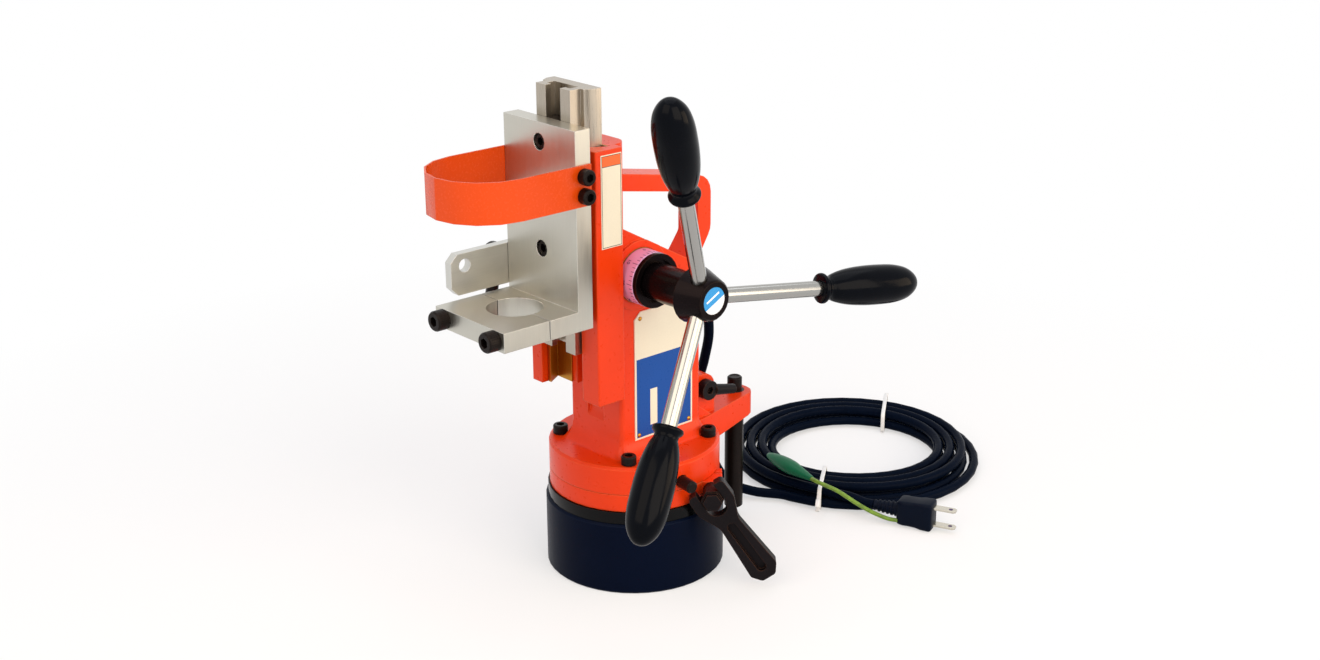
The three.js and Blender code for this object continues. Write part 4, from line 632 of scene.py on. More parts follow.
# Anodised ring of the depth dial: a soft pink film with metal under it. Its paler edge colour is a
# painted highlight.
DIAL_PINK = Finish(
    "pink anodised aluminium", "#E0A4CA", grain_mm=0.5, relief_mm=0.004, tone=0.03,
    metallic=0.2, roughness=0.34, edge_mm=0.3, edge_colour="#F9DCEB",
)
# Matt ink in the dial's engraving, also painted on the plug's blades as the shade of their holes
INK_AND_HOLE_SHADE = Finish(
    "dial ink", "#3A1E50", grain_mm=0.4, relief_mm=0.002, tone=0.05, roughness=0.5,
    rough_span=0.04, edge_mm=0,
)
# Thin dark frame printed round the label's two fields
FRAME_INK = replace(INK_AND_HOLE_SHADE, name="frame ink", colour="#2A2422", grain_mm=0.6, roughness=0.45)
# Extruded PVC sheath of the mains cord: satin black, slightly blue, with a faint drawn ripple
CORD_PVC = Finish(
    "extruded PVC sheath", "#060E1D", grain_mm=2.6, relief_mm=0.004, tone=0.12,
    roughness=0.28, gleam=0.015, edge_mm=0,
)
# Moulded PVC of the plug and the strain relief: the same black, matter and finely sparked
PLUG_PVC = Finish(
    "moulded PVC", "#050D1D", grain_mm=0.7, relief_mm=0.015, roughness=0.38,
    rough_span=0.06, gleam=0.06,
)
# Soft white PVC of the ties: slightly bluish and even
TIE_WHITE = Finish(
    "white PVC tie", "#EDEDEA", grain_mm=0.8, tone=0.03, roughness=0.42, rough_span=0.06,
    edge_mm=0,
)
# Soft green PVC boot: waxy, with a broad moulded ripple
BOOT_GREEN = replace(
    TIE_WHITE, name="green PVC boot", colour="#04603C", grain_mm=1.8, relief_mm=0.03,
    tone=0.08, roughness=0.34, gleam=0.2,
)
# Thin wire whose sheath wanders between a dull green and a dull yellow
WIRE_GREEN = replace(
    TIE_WHITE, name="green and yellow PVC", colour="#6C8E22", grain_mm=4.0, tone=0.35,
    roughness=0.4,
)
# Cream lacquer of the bare nameplate: smooth and low in gloss
PLATE_CREAM = Finish(
    "cream lacquer on aluminium", "#E9E2CC", relief_mm=0.003, tone=0.02, roughness=0.34,
    gleam=0.25, edge_mm=0.2,
)
# Blue lacquer of the nameplate's lower field
PLATE_BLUE = replace(
    PLATE_CREAM, name="blue lacquer on aluminium", colour="#134C9E", tone=0.04,
    roughness=0.32, gleam=0.2,
)
# White lacquer field of the hub's disc
DISC_WHITE = Finish(
    "white lacquer", "#EDF3F7", relief_mm=0.003, tone=0.02, roughness=0.3, edge_mm=0
)
# Pale blue lacquer above it
DISC_BLUE = replace(DISC_WHITE, name="pale blue lacquer", colour="#2292D6", tone=0.03)
# Printed film at the head of the guide's label
LABEL_ORANGE = replace(DISC_BLUE, name="orange film", colour="#EE6414", roughness=0.36)
# Varnished copper winding inside the pot: warm brown with the lie of its wire
COIL_VARNISH = Finish(
    "varnished copper winding", "#8A4B2A", grain_mm=0.8, relief_mm=0.05, tone=0.15,
    metallic=0.2, rough_span=0.1,
)

NODE_FINISHES = {
    CAST_ENAMEL: ["column_casting", "swivel_plate"],
    SHEET_ENAMEL: ["guard_strap"],
    POT_ENAMEL: ["magnet_body"],
    RING_ENAMEL: ["base_ring"],
    COIL_VARNISH: ["magnet_coil"],
    GROUND_STEEL: ["slide_bar"],
    TURNED_STEEL: ["swivel_hub", "pinion_shaft"],
    MILLED_STEEL: ["feed_rack"],
    PLATE_ALUMINIUM: ["bracket", "clamp_cap"],
    BAR_ALUMINIUM: ["side_arm"],
    BLACK_OXIDE: ["hub_bolt", "tee_bar", "stop_pin", "arm_knob"],
    WORN_OXIDE: ["clamp_bolt", "clamp_lever", "jack_lock"],
    GIB_BRASS: ["guide_gib", "guide_strip", "coil_cover"],
    BUSH_BRONZE: ["shaft_bush_right", "shaft_bush_left"],
    HUB_BLUING: ["feed_hub", "dial_sleeve"],
    MOULDED_NYLON: ["switch_bezel"],
    SWITCH_RED: ["magnet_rocker"],
}


def smoothing_group() -> NodeTree:
    """Makes the group that welds a CAD node's loose triangles and keeps its real edges sharp.

    Returns:
        The group, for a modifier.
    """
    tree = bpy.data.node_groups.new("weld_and_smooth", "GeometryNodeTree")
    for way in ("INPUT", "OUTPUT"):
        tree.interface.new_socket("Geometry", in_out=way, socket_type="NodeSocketGeometry")
    start = add_node(tree, "NodeGroupInput")
    weld = add_node(
        tree, "GeometryNodeMergeByDistance", {"Geometry": start, "Distance": 0.01 * MM}
    )
    plain = add_node(
        tree, "GeometryNodeRemoveAttribute", {"Geometry": weld, "Name": "custom_normal"}
    )
    angle = add_node(tree, "GeometryNodeInputMeshEdgeAngle").outputs["Unsigned Angle"]
    gentle = add_node(
        tree, "FunctionNodeCompare",
        {"data_type": "FLOAT", "operation": "LESS_THAN", 0: angle, 1: SHARP_ANGLE},
    )
    faces = add_node(tree, "GeometryNodeSetShadeSmooth", {"domain": "FACE", "Geometry": plain})
    edges = add_node(
        tree, "GeometryNodeSetShadeSmooth",
        {"domain": "EDGE", "Geometry": faces, "Shade Smooth": gentle},
    )
    add_node(tree, "NodeGroupOutput", {0: edges})
    return tree


def dress_nodes(frame: dict) -> None:
    """Gives the CAD nodes that stay their finish and their smooth shading.
    """
    group = smoothing_group()
    for finish, names in NODE_FINISHES.items():
        for name in names:
            node = frame["nodes"][name]
            if not node.material_slots:
                node.data.materials.append(finish.material())
            node.material_slots[0].material = finish.material()
            node.modifiers.new("weld_and_smooth", "NODES").node_group = group
            node.modifiers.new("even_normals", "WEIGHTED_NORMAL").keep_sharp = True
        LOG.info("%s: %s", finish.name, ", ".join(names))


def piece(
    name: str, bm: BMesh, finishes: list[Finish], body: str, replaced: tuple[str, ...] = ()
) -> Object:
    """Turns a shape in millimetres into a piece that rides on its body.

    Args:
        name: The piece's name.
        bm: Its shape, freed here.
        finishes: Its finishes, by material number.
        body: The CAD body that carries it.
        replaced: The CAD nodes that it stands for.

    Returns:
        The piece.
    """
    bmesh.ops.scale(bm, vec=(MM, MM, MM), verts=bm.verts)
    bm.normal_update()
    for face in bm.faces:
        face.smooth = True
    for edge in bm.edges:
        edge.smooth = edge.calc_face_angle(0.0) < SHARP_ANGLE
    mesh = bpy.data.meshes.new(name)
    bm.to_mesh(mesh)
    bm.free()
    for finish in finishes:
        mesh.materials.append(finish.material())
    made = shown(name, mesh)
    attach(made, body)
    if replaced:
        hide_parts(*replaced)
    LOG.info("%s rides on %s", name, body)
    return made


# ---------------------------------------------------------------- screws


class ScrewSize(Enum):
    """Socket screws: head radius, head height and width of the hexagon, in millimetres."""

    GIB = (4.0, 4.0, 4.0)
    M6 = (5.0, 6.0, 5.0)
    M8 = (6.5, 8.0, 6.0)


@dataclass
class SocketScrews:
    """Socket head screws with knurled heads, set where the CAD nodes are.

    Attributes:
        knurls: Ridges round a head.
        knurl_depth: Depth of the knurling, in millimetres.
        socket: Depth of the hexagon as a share of the head's height.
        crown: Height of the plain crown above the knurls, as the same share.
        inset: How far the crown narrows, as the same share.
        shank: Radius of the shank as a share of the head's.
        lead: Chamfer at the tip, in millimetres.
        rows: Names without their numbers, body, outward direction of each, and size.
    """

    knurls: int = 36
    knurl_depth: float = 0.14
    socket: float = 0.55
    crown: float = 0.14
    inset: float = 0.1
    shank: float = 0.6
    lead: float = 0.6
    rows: tuple[tuple[str, str, tuple[Point, ...], ScrewSize], ...] = (
        ("clamp_screw", "slide", ((0, -1, 0),) * 2, ScrewSize.M8),
        ("bracket_bolt", "slide", ((0, -1, 0),) * 2, ScrewSize.M6),
        ("flange_screw", "column", ((0, 0, 1),) * 4, ScrewSize.M6),
        ("gib_screw", "column", ((-1, 0, 0),) * 3, ScrewSize.GIB),
        ("guard_screw", "slide", ((-1, 0, 0), (1, 0, 0)) * 2, ScrewSize.M6),
    )

    def screw(self, size: ScrewSize, length: float) -> BMesh:
        """Models one screw along Z, with the top of its head at zero.

        Args:
            size: The head's sizes.
            length: Whole length of the screw.

        Returns:
            The screw's shape.
        """
        radius, height, hexagon = size.value
        crown = Z * height * self.crown
        bm = bmesh.new()
        ring = bmesh.ops.create_circle(bm, segments=2 * self.knurls, radius=radius)["verts"]
        for vert in ring[::2]:
            vert.co *= 1 - self.knurl_depth / radius
        grown = bmesh.ops.extrude_face_region(bm, geom=[bm.faces.new(ring)])["geom"]
        bmesh.ops.translate(bm, verts=picked(grown, BMVert), vec=crown - Z * height)
        bmesh.ops.translate(bm, verts=bm.verts, vec=-crown)
        rim = [e for e in bm.edges if all(abs(v.co.z + crown.z) < 1e-4 for v in e.verts)]
        rise = bmesh.ops.extrude_edge_only(bm, edges=rim)["geom"]
        bmesh.ops.translate(bm, verts=picked(rise, BMVert), vec=crown)
        share = 1 - height * self.inset / radius
        bmesh.ops.scale(bm, verts=picked(rise, BMVert), vec=(share, share, 1))
        well = bmesh.ops.create_circle(bm, segments=6, radius=hexagon / math.sqrt(3))["verts"]
        mouth = [e for e in bm.edges if all(v in well for v in e.verts)]
        bmesh.ops.bridge_loops(bm, edges=picked(rise, BMEdge) + mouth)
        sunk = bmesh.ops.extrude_edge_only(bm, edges=mouth)["geom"]
        bmesh.ops.translate(bm, verts=picked(sunk, BMVert), vec=-Z * height * self.socket)
        bmesh.ops.contextual_create(bm, geom=picked(sunk, BMEdge))
        opened(bm)
        thin, lead = radius * self.shank, self.lead
        shank = [(0, -height), (thin, -height), (thin, -length + lead), (thin - lead, -length),
                 (0, -length)]
        return merged([bm, spun(shank, 24)])

    def build(self) -> None:
        """Makes every screw and puts it in place of its CAD node."""
        for prefix, body, outwards, size in self.rows:
            for number, outward in enumerate(outwards, 1):
                name, out = f"{prefix}_{number}", Vector(outward)
                low, high = (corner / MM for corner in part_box(name))
                reach = abs(((high - low) / 2).dot(out))
                place = Matrix.Translation((low + high) / 2 + out * reach) @ facing(out)
                shape = self.screw(size, 2 * reach)
                piece(name + "_socket", placed(shape, place), [BLACK_OXIDE], body, (name,))


# ---------------------------------------------------------------- capstan


@dataclass
class Capstan:
    """Feed capstan: chrome rods, turned handles, the depth dial and the hub's disc.

    Attributes hold sizes in millimetres and turns in degrees. The belly's line holds shares of
    the handle's length and of the belly's radius. The disc's line and strip hold shares of its
    radius, and a tick's section its width and depth.
    """

    shaft_y: float = -17.85
    shaft_z: float = 211.2
    arm_cross_x: float = 85.05
    tilt: float = 15.0
    phase: float = -24.65
    rod_radius: float = 5.0
    rod_start: float = 10.0
    rod_chamfer: float = 0.4
    knob_start: float = 84.2
    knob_length: float = 73.0
    knob_bore: float = 32.0
    bore_gap: float = 0.25
    collar_radius: float = 9.75
    neck_radius: float = 7.6
    belly_radius: float = 12.85
    belly_line: tuple[Pair, ...] = (
        (0.15, 0.72), (0.26, 0.88), (0.42, 0.98), (0.6, 1.0), (0.76, 0.95), (0.88, 0.78),
        (0.96, 0.48), (0.99, 0.24), (1.0, 0.0),
    )
    dial_radius: float = 17.7
    dial_wall: float = 2.1
    dial_start: float = 28.3
    dial_length: float = 12.3
    ticks: int = 40
    ticks_a_number: int = 5
    tick_section: Pair = (0.34, 0.16)
    long_tick: float = 4.6
    short_tick: float = 2.6
    tick_inset: float = 0.6
    digit_size: float = 3.6
    digit_depth: float = 0.08
    digit_place: float = 3.6
    disc_radius: float = 8.6
    disc_x: float = 95.8
    disc_slant: float = 27.0
    disc_line: float = -0.18
    strip: Pair = (0.22, 0.37)
    strip_reach: float = 0.66

    def on_shaft(self, x: float) -> Matrix:
        """Gives the place at x on the shaft's axis."""
        return moved(x, self.shaft_y, self.shaft_z)

    def arm_place(self, number: int) -> Matrix:
        """Gives the place of one arm, whose own Z runs out along the rod.

        Args:
            number: One, two or three.

        Returns:
            The arm's 4x4 place.
        """
        tilt, turn = math.radians(self.tilt), math.radians(self.phase + (number - 1) * 120)
        out = math.cos(tilt)
        lean = Vector((math.sin(tilt), out * math.sin(turn), out * math.cos(turn)))
        return self.on_shaft(self.arm_cross_x) @ facing(lean)

    def rod(self) -> BMesh:
        """Turns the chrome rod along Z, with its ends chamfered.

        Returns:
            The rod's shape, in millimetres.
        """
        start, end = self.rod_start, self.knob_start + self.knob_bore - self.bore_gap
        wide, cut = self.rod_radius, self.rod_chamfer
        return spun([(0, start), (wide - cut, start), (wide, start + cut), (wide, end - cut),
                     (wide - cut, end), (0, end)])

    def knob(self) -> BMesh:
        """Turns the handle: collar, neck and a long belly that ends in a full nose.

        Returns:
            The handle's shape, in millimetres.
        """
        start, length, belly = self.knob_start, self.knob_length, self.belly_radius
        collar, neck, bore = self.collar_radius, self.neck_radius, self.rod_radius + self.bore_gap
        line = [(0.095, neck / belly), *self.belly_line]
        curve = centripetal(
            [Vector((radius * belly, 0, start + along * length)) for along, radius in line], 5
        )
        profile = [
            (bore, start), (collar - 1, start), (collar - 0.3, start + 0.3), (collar, start + 1),
            (collar, start + 2), (collar - 0.3, start + 2.7), (neck + 0.4, start + 4.2),
            (neck, start + 5), *[(max(0.0, p.x), p.z) for p in curve[:-1]],
            (0, start + length), (0, start + self.knob_bore), (bore, start + self.knob_bore),
            (bore, start),
        ]
        return spun(profile, 56)

    def dial(self) -> BMesh:
        """Turns the dial ring along Z, from its column side.

        Returns:
            The ring's shape, in millimetres.
        """
        outer, length = self.dial_radius, self.dial_length
        inner = outer - self.dial_wall
        return spun([(inner, 0), (outer - 0.3, 0), (outer, 0.3), (outer, length - 0.5),
                     (outer - 0.5, length), (inner, length), (inner, 0)], 80)

    def marks(self) -> BMesh:
        """Engraves the dial: ticks round its outer edge and a plain number at each long one.

        Returns:
            All the marks as one shape, in millimetres.
        """
        shapes = []
        for i in range(self.ticks):
            turn, numbered = turned(360 * i / self.ticks), i % self.ticks_a_number == 0
            length = self.long_tick if numbered else self.short_tick
            at = moved(0, self.dial_radius, self.dial_length - self.tick_inset - length / 2)
            bar = Matrix.Diagonal((*self.tick_section, length, 1))
            tick = bmesh.new()
            bmesh.ops.create_cube(tick, size=1, matrix=turn @ at @ bar)
            shapes.append(tick)
            if numbered:
                stand = moved(0, self.dial_radius, self.digit_place) @ ONTO_Y
                shapes.append(placed(self.digits(str(i * 2)), turn @ stand))
        return merged(shapes)

    def digits(self, words: str) -> BMesh:
        """Cuts a plain number as a thin shape on the XY plane, centred.

        Args:
            words: The number.

        Returns:
            The number's shape, in millimetres.
        """
        curve = bpy.data.curves.new("digits", "FONT")
        curve.body, curve.size, curve.extrude = words, self.digit_size, self.digit_depth
        curve.align_x, curve.align_y = "CENTER", "CENTER"
        return welded(meshed(curve))

    def disc(self) -> BMesh:
        """Makes the hub's bare disc: blue over a slanting line, white under it, a white strip.

        Returns:
            The disc's shape, with its second material number for white.
        """
        radius, line, (low, high) = self.disc_radius, self.disc_line, self.strip
        bm = spun([(0, 0), (radius, 0), (radius, 0.25), (radius - 0.2, 0.4), (0, 0.45)])
        across, along = heading(self.disc_slant + 90), heading(self.disc_slant)
        cuts = [(across, share * radius) for share in (line, low, high)]
        cuts += [(along, way * self.strip_reach * radius) for way in (-1, 1)]
        scored(bm, cuts)
        for face in bm.faces:
            at = face.calc_center_median() / radius
            in_strip = low < at.dot(across) < high and abs(at.dot(along)) < self.strip_reach
            face.material_index = int(at.dot(across) < line or in_strip)
        return bm

    def build(self) -> None:
        """Makes the capstan's pieces in place of its CAD nodes."""
        for number in (1, 2, 3):
            place = self.arm_place(number)
            piece(f"rod_{number}_chrome", placed(self.rod(), place), [ROD_CHROME], "capstan",
                  (f"feed_rod_{number}",))
            piece(f"knob_{number}_turned", placed(self.knob(), place), [KNOB_PHENOLIC], "capstan",
                  (f"feed_knob_{number}",))
        dial_place = self.on_shaft(self.dial_start) @ ONTO_X
        piece("dial_turned", placed(self.dial(), dial_place), [DIAL_PINK], "dial", ("dial_ring",))
        piece("dial_marks", placed(self.marks(), dial_place), [INK_AND_HOLE_SHADE], "dial")
        disc_place = self.on_shaft(self.disc_x) @ ONTO_X
        piece("hub_disc", placed(self.disc(), disc_place), [DISC_BLUE, DISC_WHITE], "capstan")


# ---------------------------------------------------------------- bare plates


@dataclass
class Plates:
    """The riveted nameplate on the column and the label on the guide, both bare.

    Attributes hold sizes in millimetres. The box is an empty field on the nameplate, measured
    from its lower front corner.
    """

    wall_x: float = 26.0
    guide_x: float = 34.0
    stand_off: float = 0.02
    front_y: float = -22.0
    rear_y: float = 28.0
    low_z: float = 98.2
    top_z: float = 186.2
    blue_top_z: float = 154.0
    corner: float = 5.0
    thickness: float = 0.8
    edge: float = 0.25
    border: float = 1.4
    box_y: Pair = (13.0, 19.0)
    box_z: Pair = (8.0, 33.0)
    rivet_radius: float = 1.5
    rivet_inset: float = 3.2
    corner_inset: float = 1.4
    label_y: Pair = (-54.0, -37.6)
    label_z: Pair = (236.7, 295.7)
    label_thickness: float = 0.3
    label_edge: float = 0.08
    label_rim: float = 0.6
    label_line: float = 0.4
    head_z: float = 288.5

    def on_wall(self, x: float) -> Matrix:
        """Takes (y, z) drawn on the XY plane to the wall at x."""
        return moved(x + self.stand_off, 0, 0) @ ONTO_X

    def nameplate(self) -> BMesh:
        """Makes the plate: cream above, a framed blue field with an empty box below.

        Returns:
            The plate's shape, with its second material number for blue.
        """
        front, rear, low, top = self.front_y, self.rear_y, self.low_z, self.top_z
        cut, rim = self.corner, self.border
        bm = plate([(front, low), (rear, low), (rear, top), (front + cut, top), (front, top - cut)],
                   self.thickness, self.edge)
        blue_y, blue_z = (front + rim, rear - rim), (low + rim, self.blue_top_z)
        box_y, box_z = [front + y for y in self.box_y], [low + z for z in self.box_z]
        scored(bm, [(normal, at) for pair, normal in
                    ((blue_y, X), (blue_z, Y), (box_y, X), (box_z, Y)) for at in pair])
        for face in bm.faces:
            at = face.calc_center_median()
            blue = inside(at, blue_y, blue_z) and not inside(at, box_y, box_z)
            face.material_index = int(blue and face.normal.z > 0.9)
        return bm

    def rivets(self) -> BMesh:
        """Makes four domed rivets, one in each corner of the plate.

        Returns:
            The rivets as one shape, in millimetres.
        """
        inset, r, base = self.rivet_inset, self.rivet_radius, self.thickness
        front, rear = self.front_y + inset, self.rear_y - inset
        low, top = self.low_z + inset, self.top_z - inset
        further = self.corner_inset  # the cut corner's rivet sits further in
        dome = [(0, base - 0.3), (r, base - 0.3), (r, base + 0.1), (r * 0.8, base + 0.5),
                (r * 0.4, base + 0.75), (0, base + 0.82)]
        places = [(front, low), (rear, low), (rear, top), (front + further, top - further)]
        return merged([placed(spun(dome, 20), moved(y, z, 0)) for y, z in places])

    def label(self) -> BMesh:
        """Makes the guide's bare label: cream under an orange head, both in a thin dark frame.

        Returns:
            The label's shape, with its second and third material numbers for head and frame.
        """
        (front, rear), (low, high) = self.label_y, self.label_z
        rim, line = self.label_rim, self.label_line
        bm = plate([(front, low), (rear, low), (rear, high), (front, high)],
                   self.label_thickness, self.label_edge)
        frame_y, frame_z = (front + rim, rear - rim), (low + rim, high - rim)
        field_y = (frame_y[0] + line, frame_y[1] - line)
        field_z, head_z = (frame_z[0] + line, self.head_z - line), (self.head_z, frame_z[1] - line)
        cuts = [(X, y) for y in (frame_y[0], *field_y, frame_y[1])]
        cuts += [(Y, z) for z in (*frame_z, *field_z, *head_z)]
        scored(bm, cuts)
        for face in bm.faces:
            at = face.calc_center_median()
            if inside(at, field_y, head_z):
                face.material_index = 1
            elif inside(at, frame_y, frame_z) and not inside(at, field_y, field_z):
                face.material_index = 2
        return bm

    def build(self) -> None:
        """Sets the plates on their walls."""
        wall = self.on_wall(self.wall_x)
        piece("nameplate", placed(self.nameplate(), wall), [PLATE_CREAM, PLATE_BLUE], "column")
        piece("nameplate_rivets", placed(self.rivets(), wall), [GIB_BRASS], "column")
        piece("guide_label", placed(self.label(), self.on_wall(self.guide_x)),
              [PLATE_CREAM, LABEL_ORANGE, FRAME_INK], "column")


# ---------------------------------------------------------------- jack


@dataclass
class Jack:
    """Jack post of the rear lug: a turned black post under a flat, dished cap.

    Attributes hold sizes in millimetres, and the dish its radius and depth.
    """

    lug_z: float = 96.0
    post_radius: float = 6.6
    post_chamfer: float = 0.8
    cap_radius: float = 5.2
    cap_chamfer: float = 0.9
    dish: Pair = (3.0, 0.5)
    dish_slope: float = 0.4

    def build(self) -> None:
        """Makes the post in place of its CAD node."""
        low, high = (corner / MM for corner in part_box("jack_screw"))
        post, foot, cap, edge = (
            self.post_radius, self.post_chamfer, self.cap_radius, self.cap_chamfer
        )
        top, (dish, depth) = high.z, self.dish
        profile = [
            (0, low.z), (post - foot, low.z), (post, low.z + foot), (post, self.lug_z),
            (cap, self.lug_z), (cap, top - edge), (cap - edge, top),
            (dish + self.dish_slope, top), (dish, top - depth), (0, top - depth),
        ]
        place = moved(0, (low.y + high.y) / 2, 0)
        piece("jack_post", placed(spun(profile, 40), place), [BLACK_OXIDE], "jack", ("jack_screw",))


# ---------------------------------------------------------------- cord


@dataclass
class MainsCord:
    """Mains cord from its gland to its plug: a lead, a neat two-layer coil and a tail.

    The routes are those of the CAD solids. Attributes hold sizes in millimetres and turns in
    degrees. The plug's stations hold the distance from its rear and the shares of its width and
    height there. The boot's line holds shares of its half length and of its radius. The ends of
    a tie are measured from the pile's upper outer corner.
    """

    radius: float = 3.5
    gland_x: float = -6.0
    gland_z: float = 168.0
    column_rear_y: float = 36.2
    relief_end: float = 18.5
    relief_gap: float = 0.25
    coil_x: float = -8.3
    coil_y: float = 227.7
    outer: float = 95.0
    inner: float = 61.5
    pitch: float = 8.6
    layer_rise: float = 7.7
    lift: float = 1.6
    entry: float = -75.0
    turns: float = 7.01
    steps: int = 36
    lead_points: tuple[Point, ...] = (
        (-7, 72, 158), (-9, 76.5, 140), (-17, 80, 118), (-27, 84, 96), (-31, 90, 72),
        (-31, 96, 48), (-29, 102, 27), (-22, 111, 11), (-8, 121, 6),
    )
    tail_points: tuple[Point, ...] = ((43.7, 151.3, 12.8), (57.7, 155.6, 12.7))
    plug_at: Point = (102.3, 173.7, 10.9)
    plug_turn: float = 23.0
    plug_length: float = 26.0
    plug_width: float = 21.0
    plug_height: float = 15.0
    plug_stations: tuple[Point, ...] = (
        (0, 0.85, 0.9), (5, 0.88, 1.0), (9, 0.89, 0.93), (14, 0.91, 0.93), (18, 0.97, 1.0),
        (26, 1.0, 1.0),
    )
    plug_edge: float = 2.2
    neck_length: float = 18.0
    neck_radius: float = 5.5
    neck_root: float = 6.0
    blade_pitch: float = 12.7
    blade_length: float = 16.0
    blade_root: float = 4.0
    blade_width: float = 6.3
    blade_thickness: float = 1.5
    blade_corner: float = 1.6
    hole_radius: float = 1.5
    hole_inset: float = 4.0
    wire_radius: float = 1.5
    wire_points: tuple[Point, ...] = ((75.7, 154.2, 9), (65.7, 149.2, 14), (53.7, 144.2, 20))
    wire_place: float = 6.0
    clip_length: float = 52.0
    clip_radius: float = 6.0
    clip_flatness: float = 0.82
    clip_at: Point = (7.0, 143.0, 24.0)
    clip_turn: float = 172.0
    boot_line: tuple[Pair, ...] = (
        (-1.0, 0.36), (-0.8, 0.5), (-0.5, 0.72), (-0.1, 1.0), (0.3, 0.98), (0.6, 0.8),
        (0.85, 0.55), (0.98, 0.34),
    )
    tie_width: float = 3.0
    tie_half: float = 0.4
    tie_corner: float = 3.6
    tie_low: float = 0.8
    tie_ends: tuple[tuple[Pair, ...], ...] = (
        ((-1, -3), (4, -5), (9, -4), (14.5, -7)),
        ((-1, -4), (3, -7), (8, -9), (13.5, -10.5)),
    )
    ties: tuple[tuple[str, float, float], ...] = (
        ("cord_tie_rear", 113.5, 15.0), ("cord_tie_front", -64.0, 12.0),
    )

    def coil_point(self, share: float) -> Vector:
        """Gives a point of the coil.

        Args:
            share: From zero at its first loop to one at its last.

        Returns:
            The point, in millimetres.
        """
        inward = (self.outer - self.inner) / self.pitch
        turn = share * self.turns
        step = min(1.0, max(0.0, (turn - inward + 0.25) / 0.5))
        climb = step * step * (3 - 2 * step)
        radius = self.inner + self.pitch * abs(turn - inward)
        angle = math.radians(self.entry) + 2 * math.pi * turn
        return Vector((
            self.coil_x + radius * math.cos(angle), self.coil_y + radius * math.sin(angle),
            self.lift + self.radius + self.layer_rise * climb,
        ))

    def coil_direction(self, share: float) -> Vector:
        """Gives the coil's level direction of travel at a share of its length.

        Args:
            share: From zero at its first loop to one at its last.

        Returns:
            A direction one long.
        """
        step = 1e-4
        way = self.coil_point(min(1.0, share + step)) - self.coil_point(max(0.0, share - step))
        return Vector((way.x, way.y, 0)).normalized()

    def plug_frame(self) -> Matrix:
        """Gives the plug's place: its blades point along its X, and it lies on its narrow side."""
        return moved(*self.plug_at) @ turned(self.plug_turn) @ UPRIGHT

    def clip_frame(self) -> Matrix:
        """Gives the earth clip's place, whose own X runs along it."""
        return moved(*self.clip_at) @ turned(self.clip_turn)

    def route(self) -> list[Vector]:
        """Gives the whole centreline, from the gland to the plug's neck.

        Returns:
            The points of the centreline, in millimetres.
        """
        step, exit_y = 2 * self.radius, self.column_rear_y + self.relief_end
        start, end = self.coil_point(0), self.coil_point(1)
        gland = [Vector((self.gland_x, exit_y + along, self.gland_z)) for along in (0, step)]
        before = start - self.coil_direction(0) * step
        lead = [*gland, *map(Vector, self.lead_points), before, start]
        plug, rear = self.plug_frame(), -self.plug_length / 2 - self.neck_length
        behind = [plug @ Vector((rear - along, 0, 0)) for along in (step, 0.5)]
        tail = [end, end + self.coil_direction(1) * step, *map(Vector, self.tail_points), *behind]
        count = round(self.turns * self.steps)
        coil = [self.coil_point(i / count) for i in range(1, count)]
        return centripetal(lead, 6) + coil + centripetal(tail, 6)

    def curve(self, name: str, points: list[Vector], radius: float, finish: Finish) -> Object:
        """Makes a round cord as a curve of one open spline.

        Args:
            name: The piece's name.
            points: Its centreline, in millimetres.
            radius: Its radius, in millimetres.
            finish: Its sheath.

        Returns:
            The curve object, not yet riding.
        """
        data = bpy.data.curves.new(name, "CURVE")
        data.dimensions, data.bevel_depth, data.bevel_resolution = "3D", radius * MM, 5
        data.use_fill_caps = True
        add_spline(data, [point * MM for point in points])
        data.materials.append(finish.material())
        return shown(name, data)

    def relief(self) -> BMesh:
        """Turns the gland and its ribbed, tapered strain relief along Y.

        Returns:
            The gland's shape, in its place.
        """
        y = self.column_rear_y + self.relief_gap
        profile = [
            (0, y - 8), (6, y - 8), (6, y), (8.4, y), (9, y + 0.6), (9, y + 3.4), (8.4, y + 4),
            *ribs(y + 4.6, 2.85, 6.6, 0.3, ((0.9, -0.6), (0, 0), (0, 1.2), (0.9, 1.7))),
            (5.0, y + 18), (0, y + 18),
        ]
        return placed(spun(profile, 32), moved(self.gland_x, 0, self.gland_z) @ ONTO_Y)

    def shell(self) -> BMesh:
        """Moulds the plug: soft edges, a waist for the fingers and a ribbed, tapered neck.

        Returns:
            The plug's shape, along its own X.
        """
        half, wide, tall = self.plug_length / 2, self.plug_width / 2, self.plug_height / 2
        stations = self.plug_stations
        bm = bmesh.new()
        bmesh.ops.create_grid(bm, x_segments=1, y_segments=1, size=1)
        bmesh.ops.scale(bm, vec=(stations[0][1] * wide, stations[0][2] * tall, 1), verts=bm.verts)
        bmesh.ops.translate(bm, vec=-Z * half, verts=bm.verts)
        cap = bm.faces[:][0]
        for (near, thin, low), (far, thick, high) in zip(stations, stations[1:]):
            grown = bmesh.ops.extrude_face_region(bm, geom=[cap])["geom"]
            cap = picked(grown, BMFace)[0]
            bmesh.ops.scale(bm, vec=(thick / thin, high / low, 1), verts=cap.verts)
            bmesh.ops.translate(bm, vec=Z * (far - near), verts=cap.verts)
        opened(bm)
        edges = [e for e in bm.edges if e.calc_face_angle(0) > 0.6]
        bmesh.ops.bevel(
            bm, geom=edges, offset=self.plug_edge, segments=4, affect="EDGES", profile=0.5,
            material=-1, clamp_overlap=True,
        )
        root, end, radius = self.neck_root, self.neck_length, self.neck_radius
        neck = [
            (0, root), (radius, root),
            *ribs(-0.6, -3.2, radius, 0.28, ((0, 0), (0, -1.1), (0.9, -1.4), (0.9, -2.8))),
            (4.0, 0.8 - end), (3.7, -end), (0, -end),
        ]
        return merged([placed(bm, ONTO_X), placed(spun(neck, 28), moved(-half, 0, 0) @ ONTO_X)])

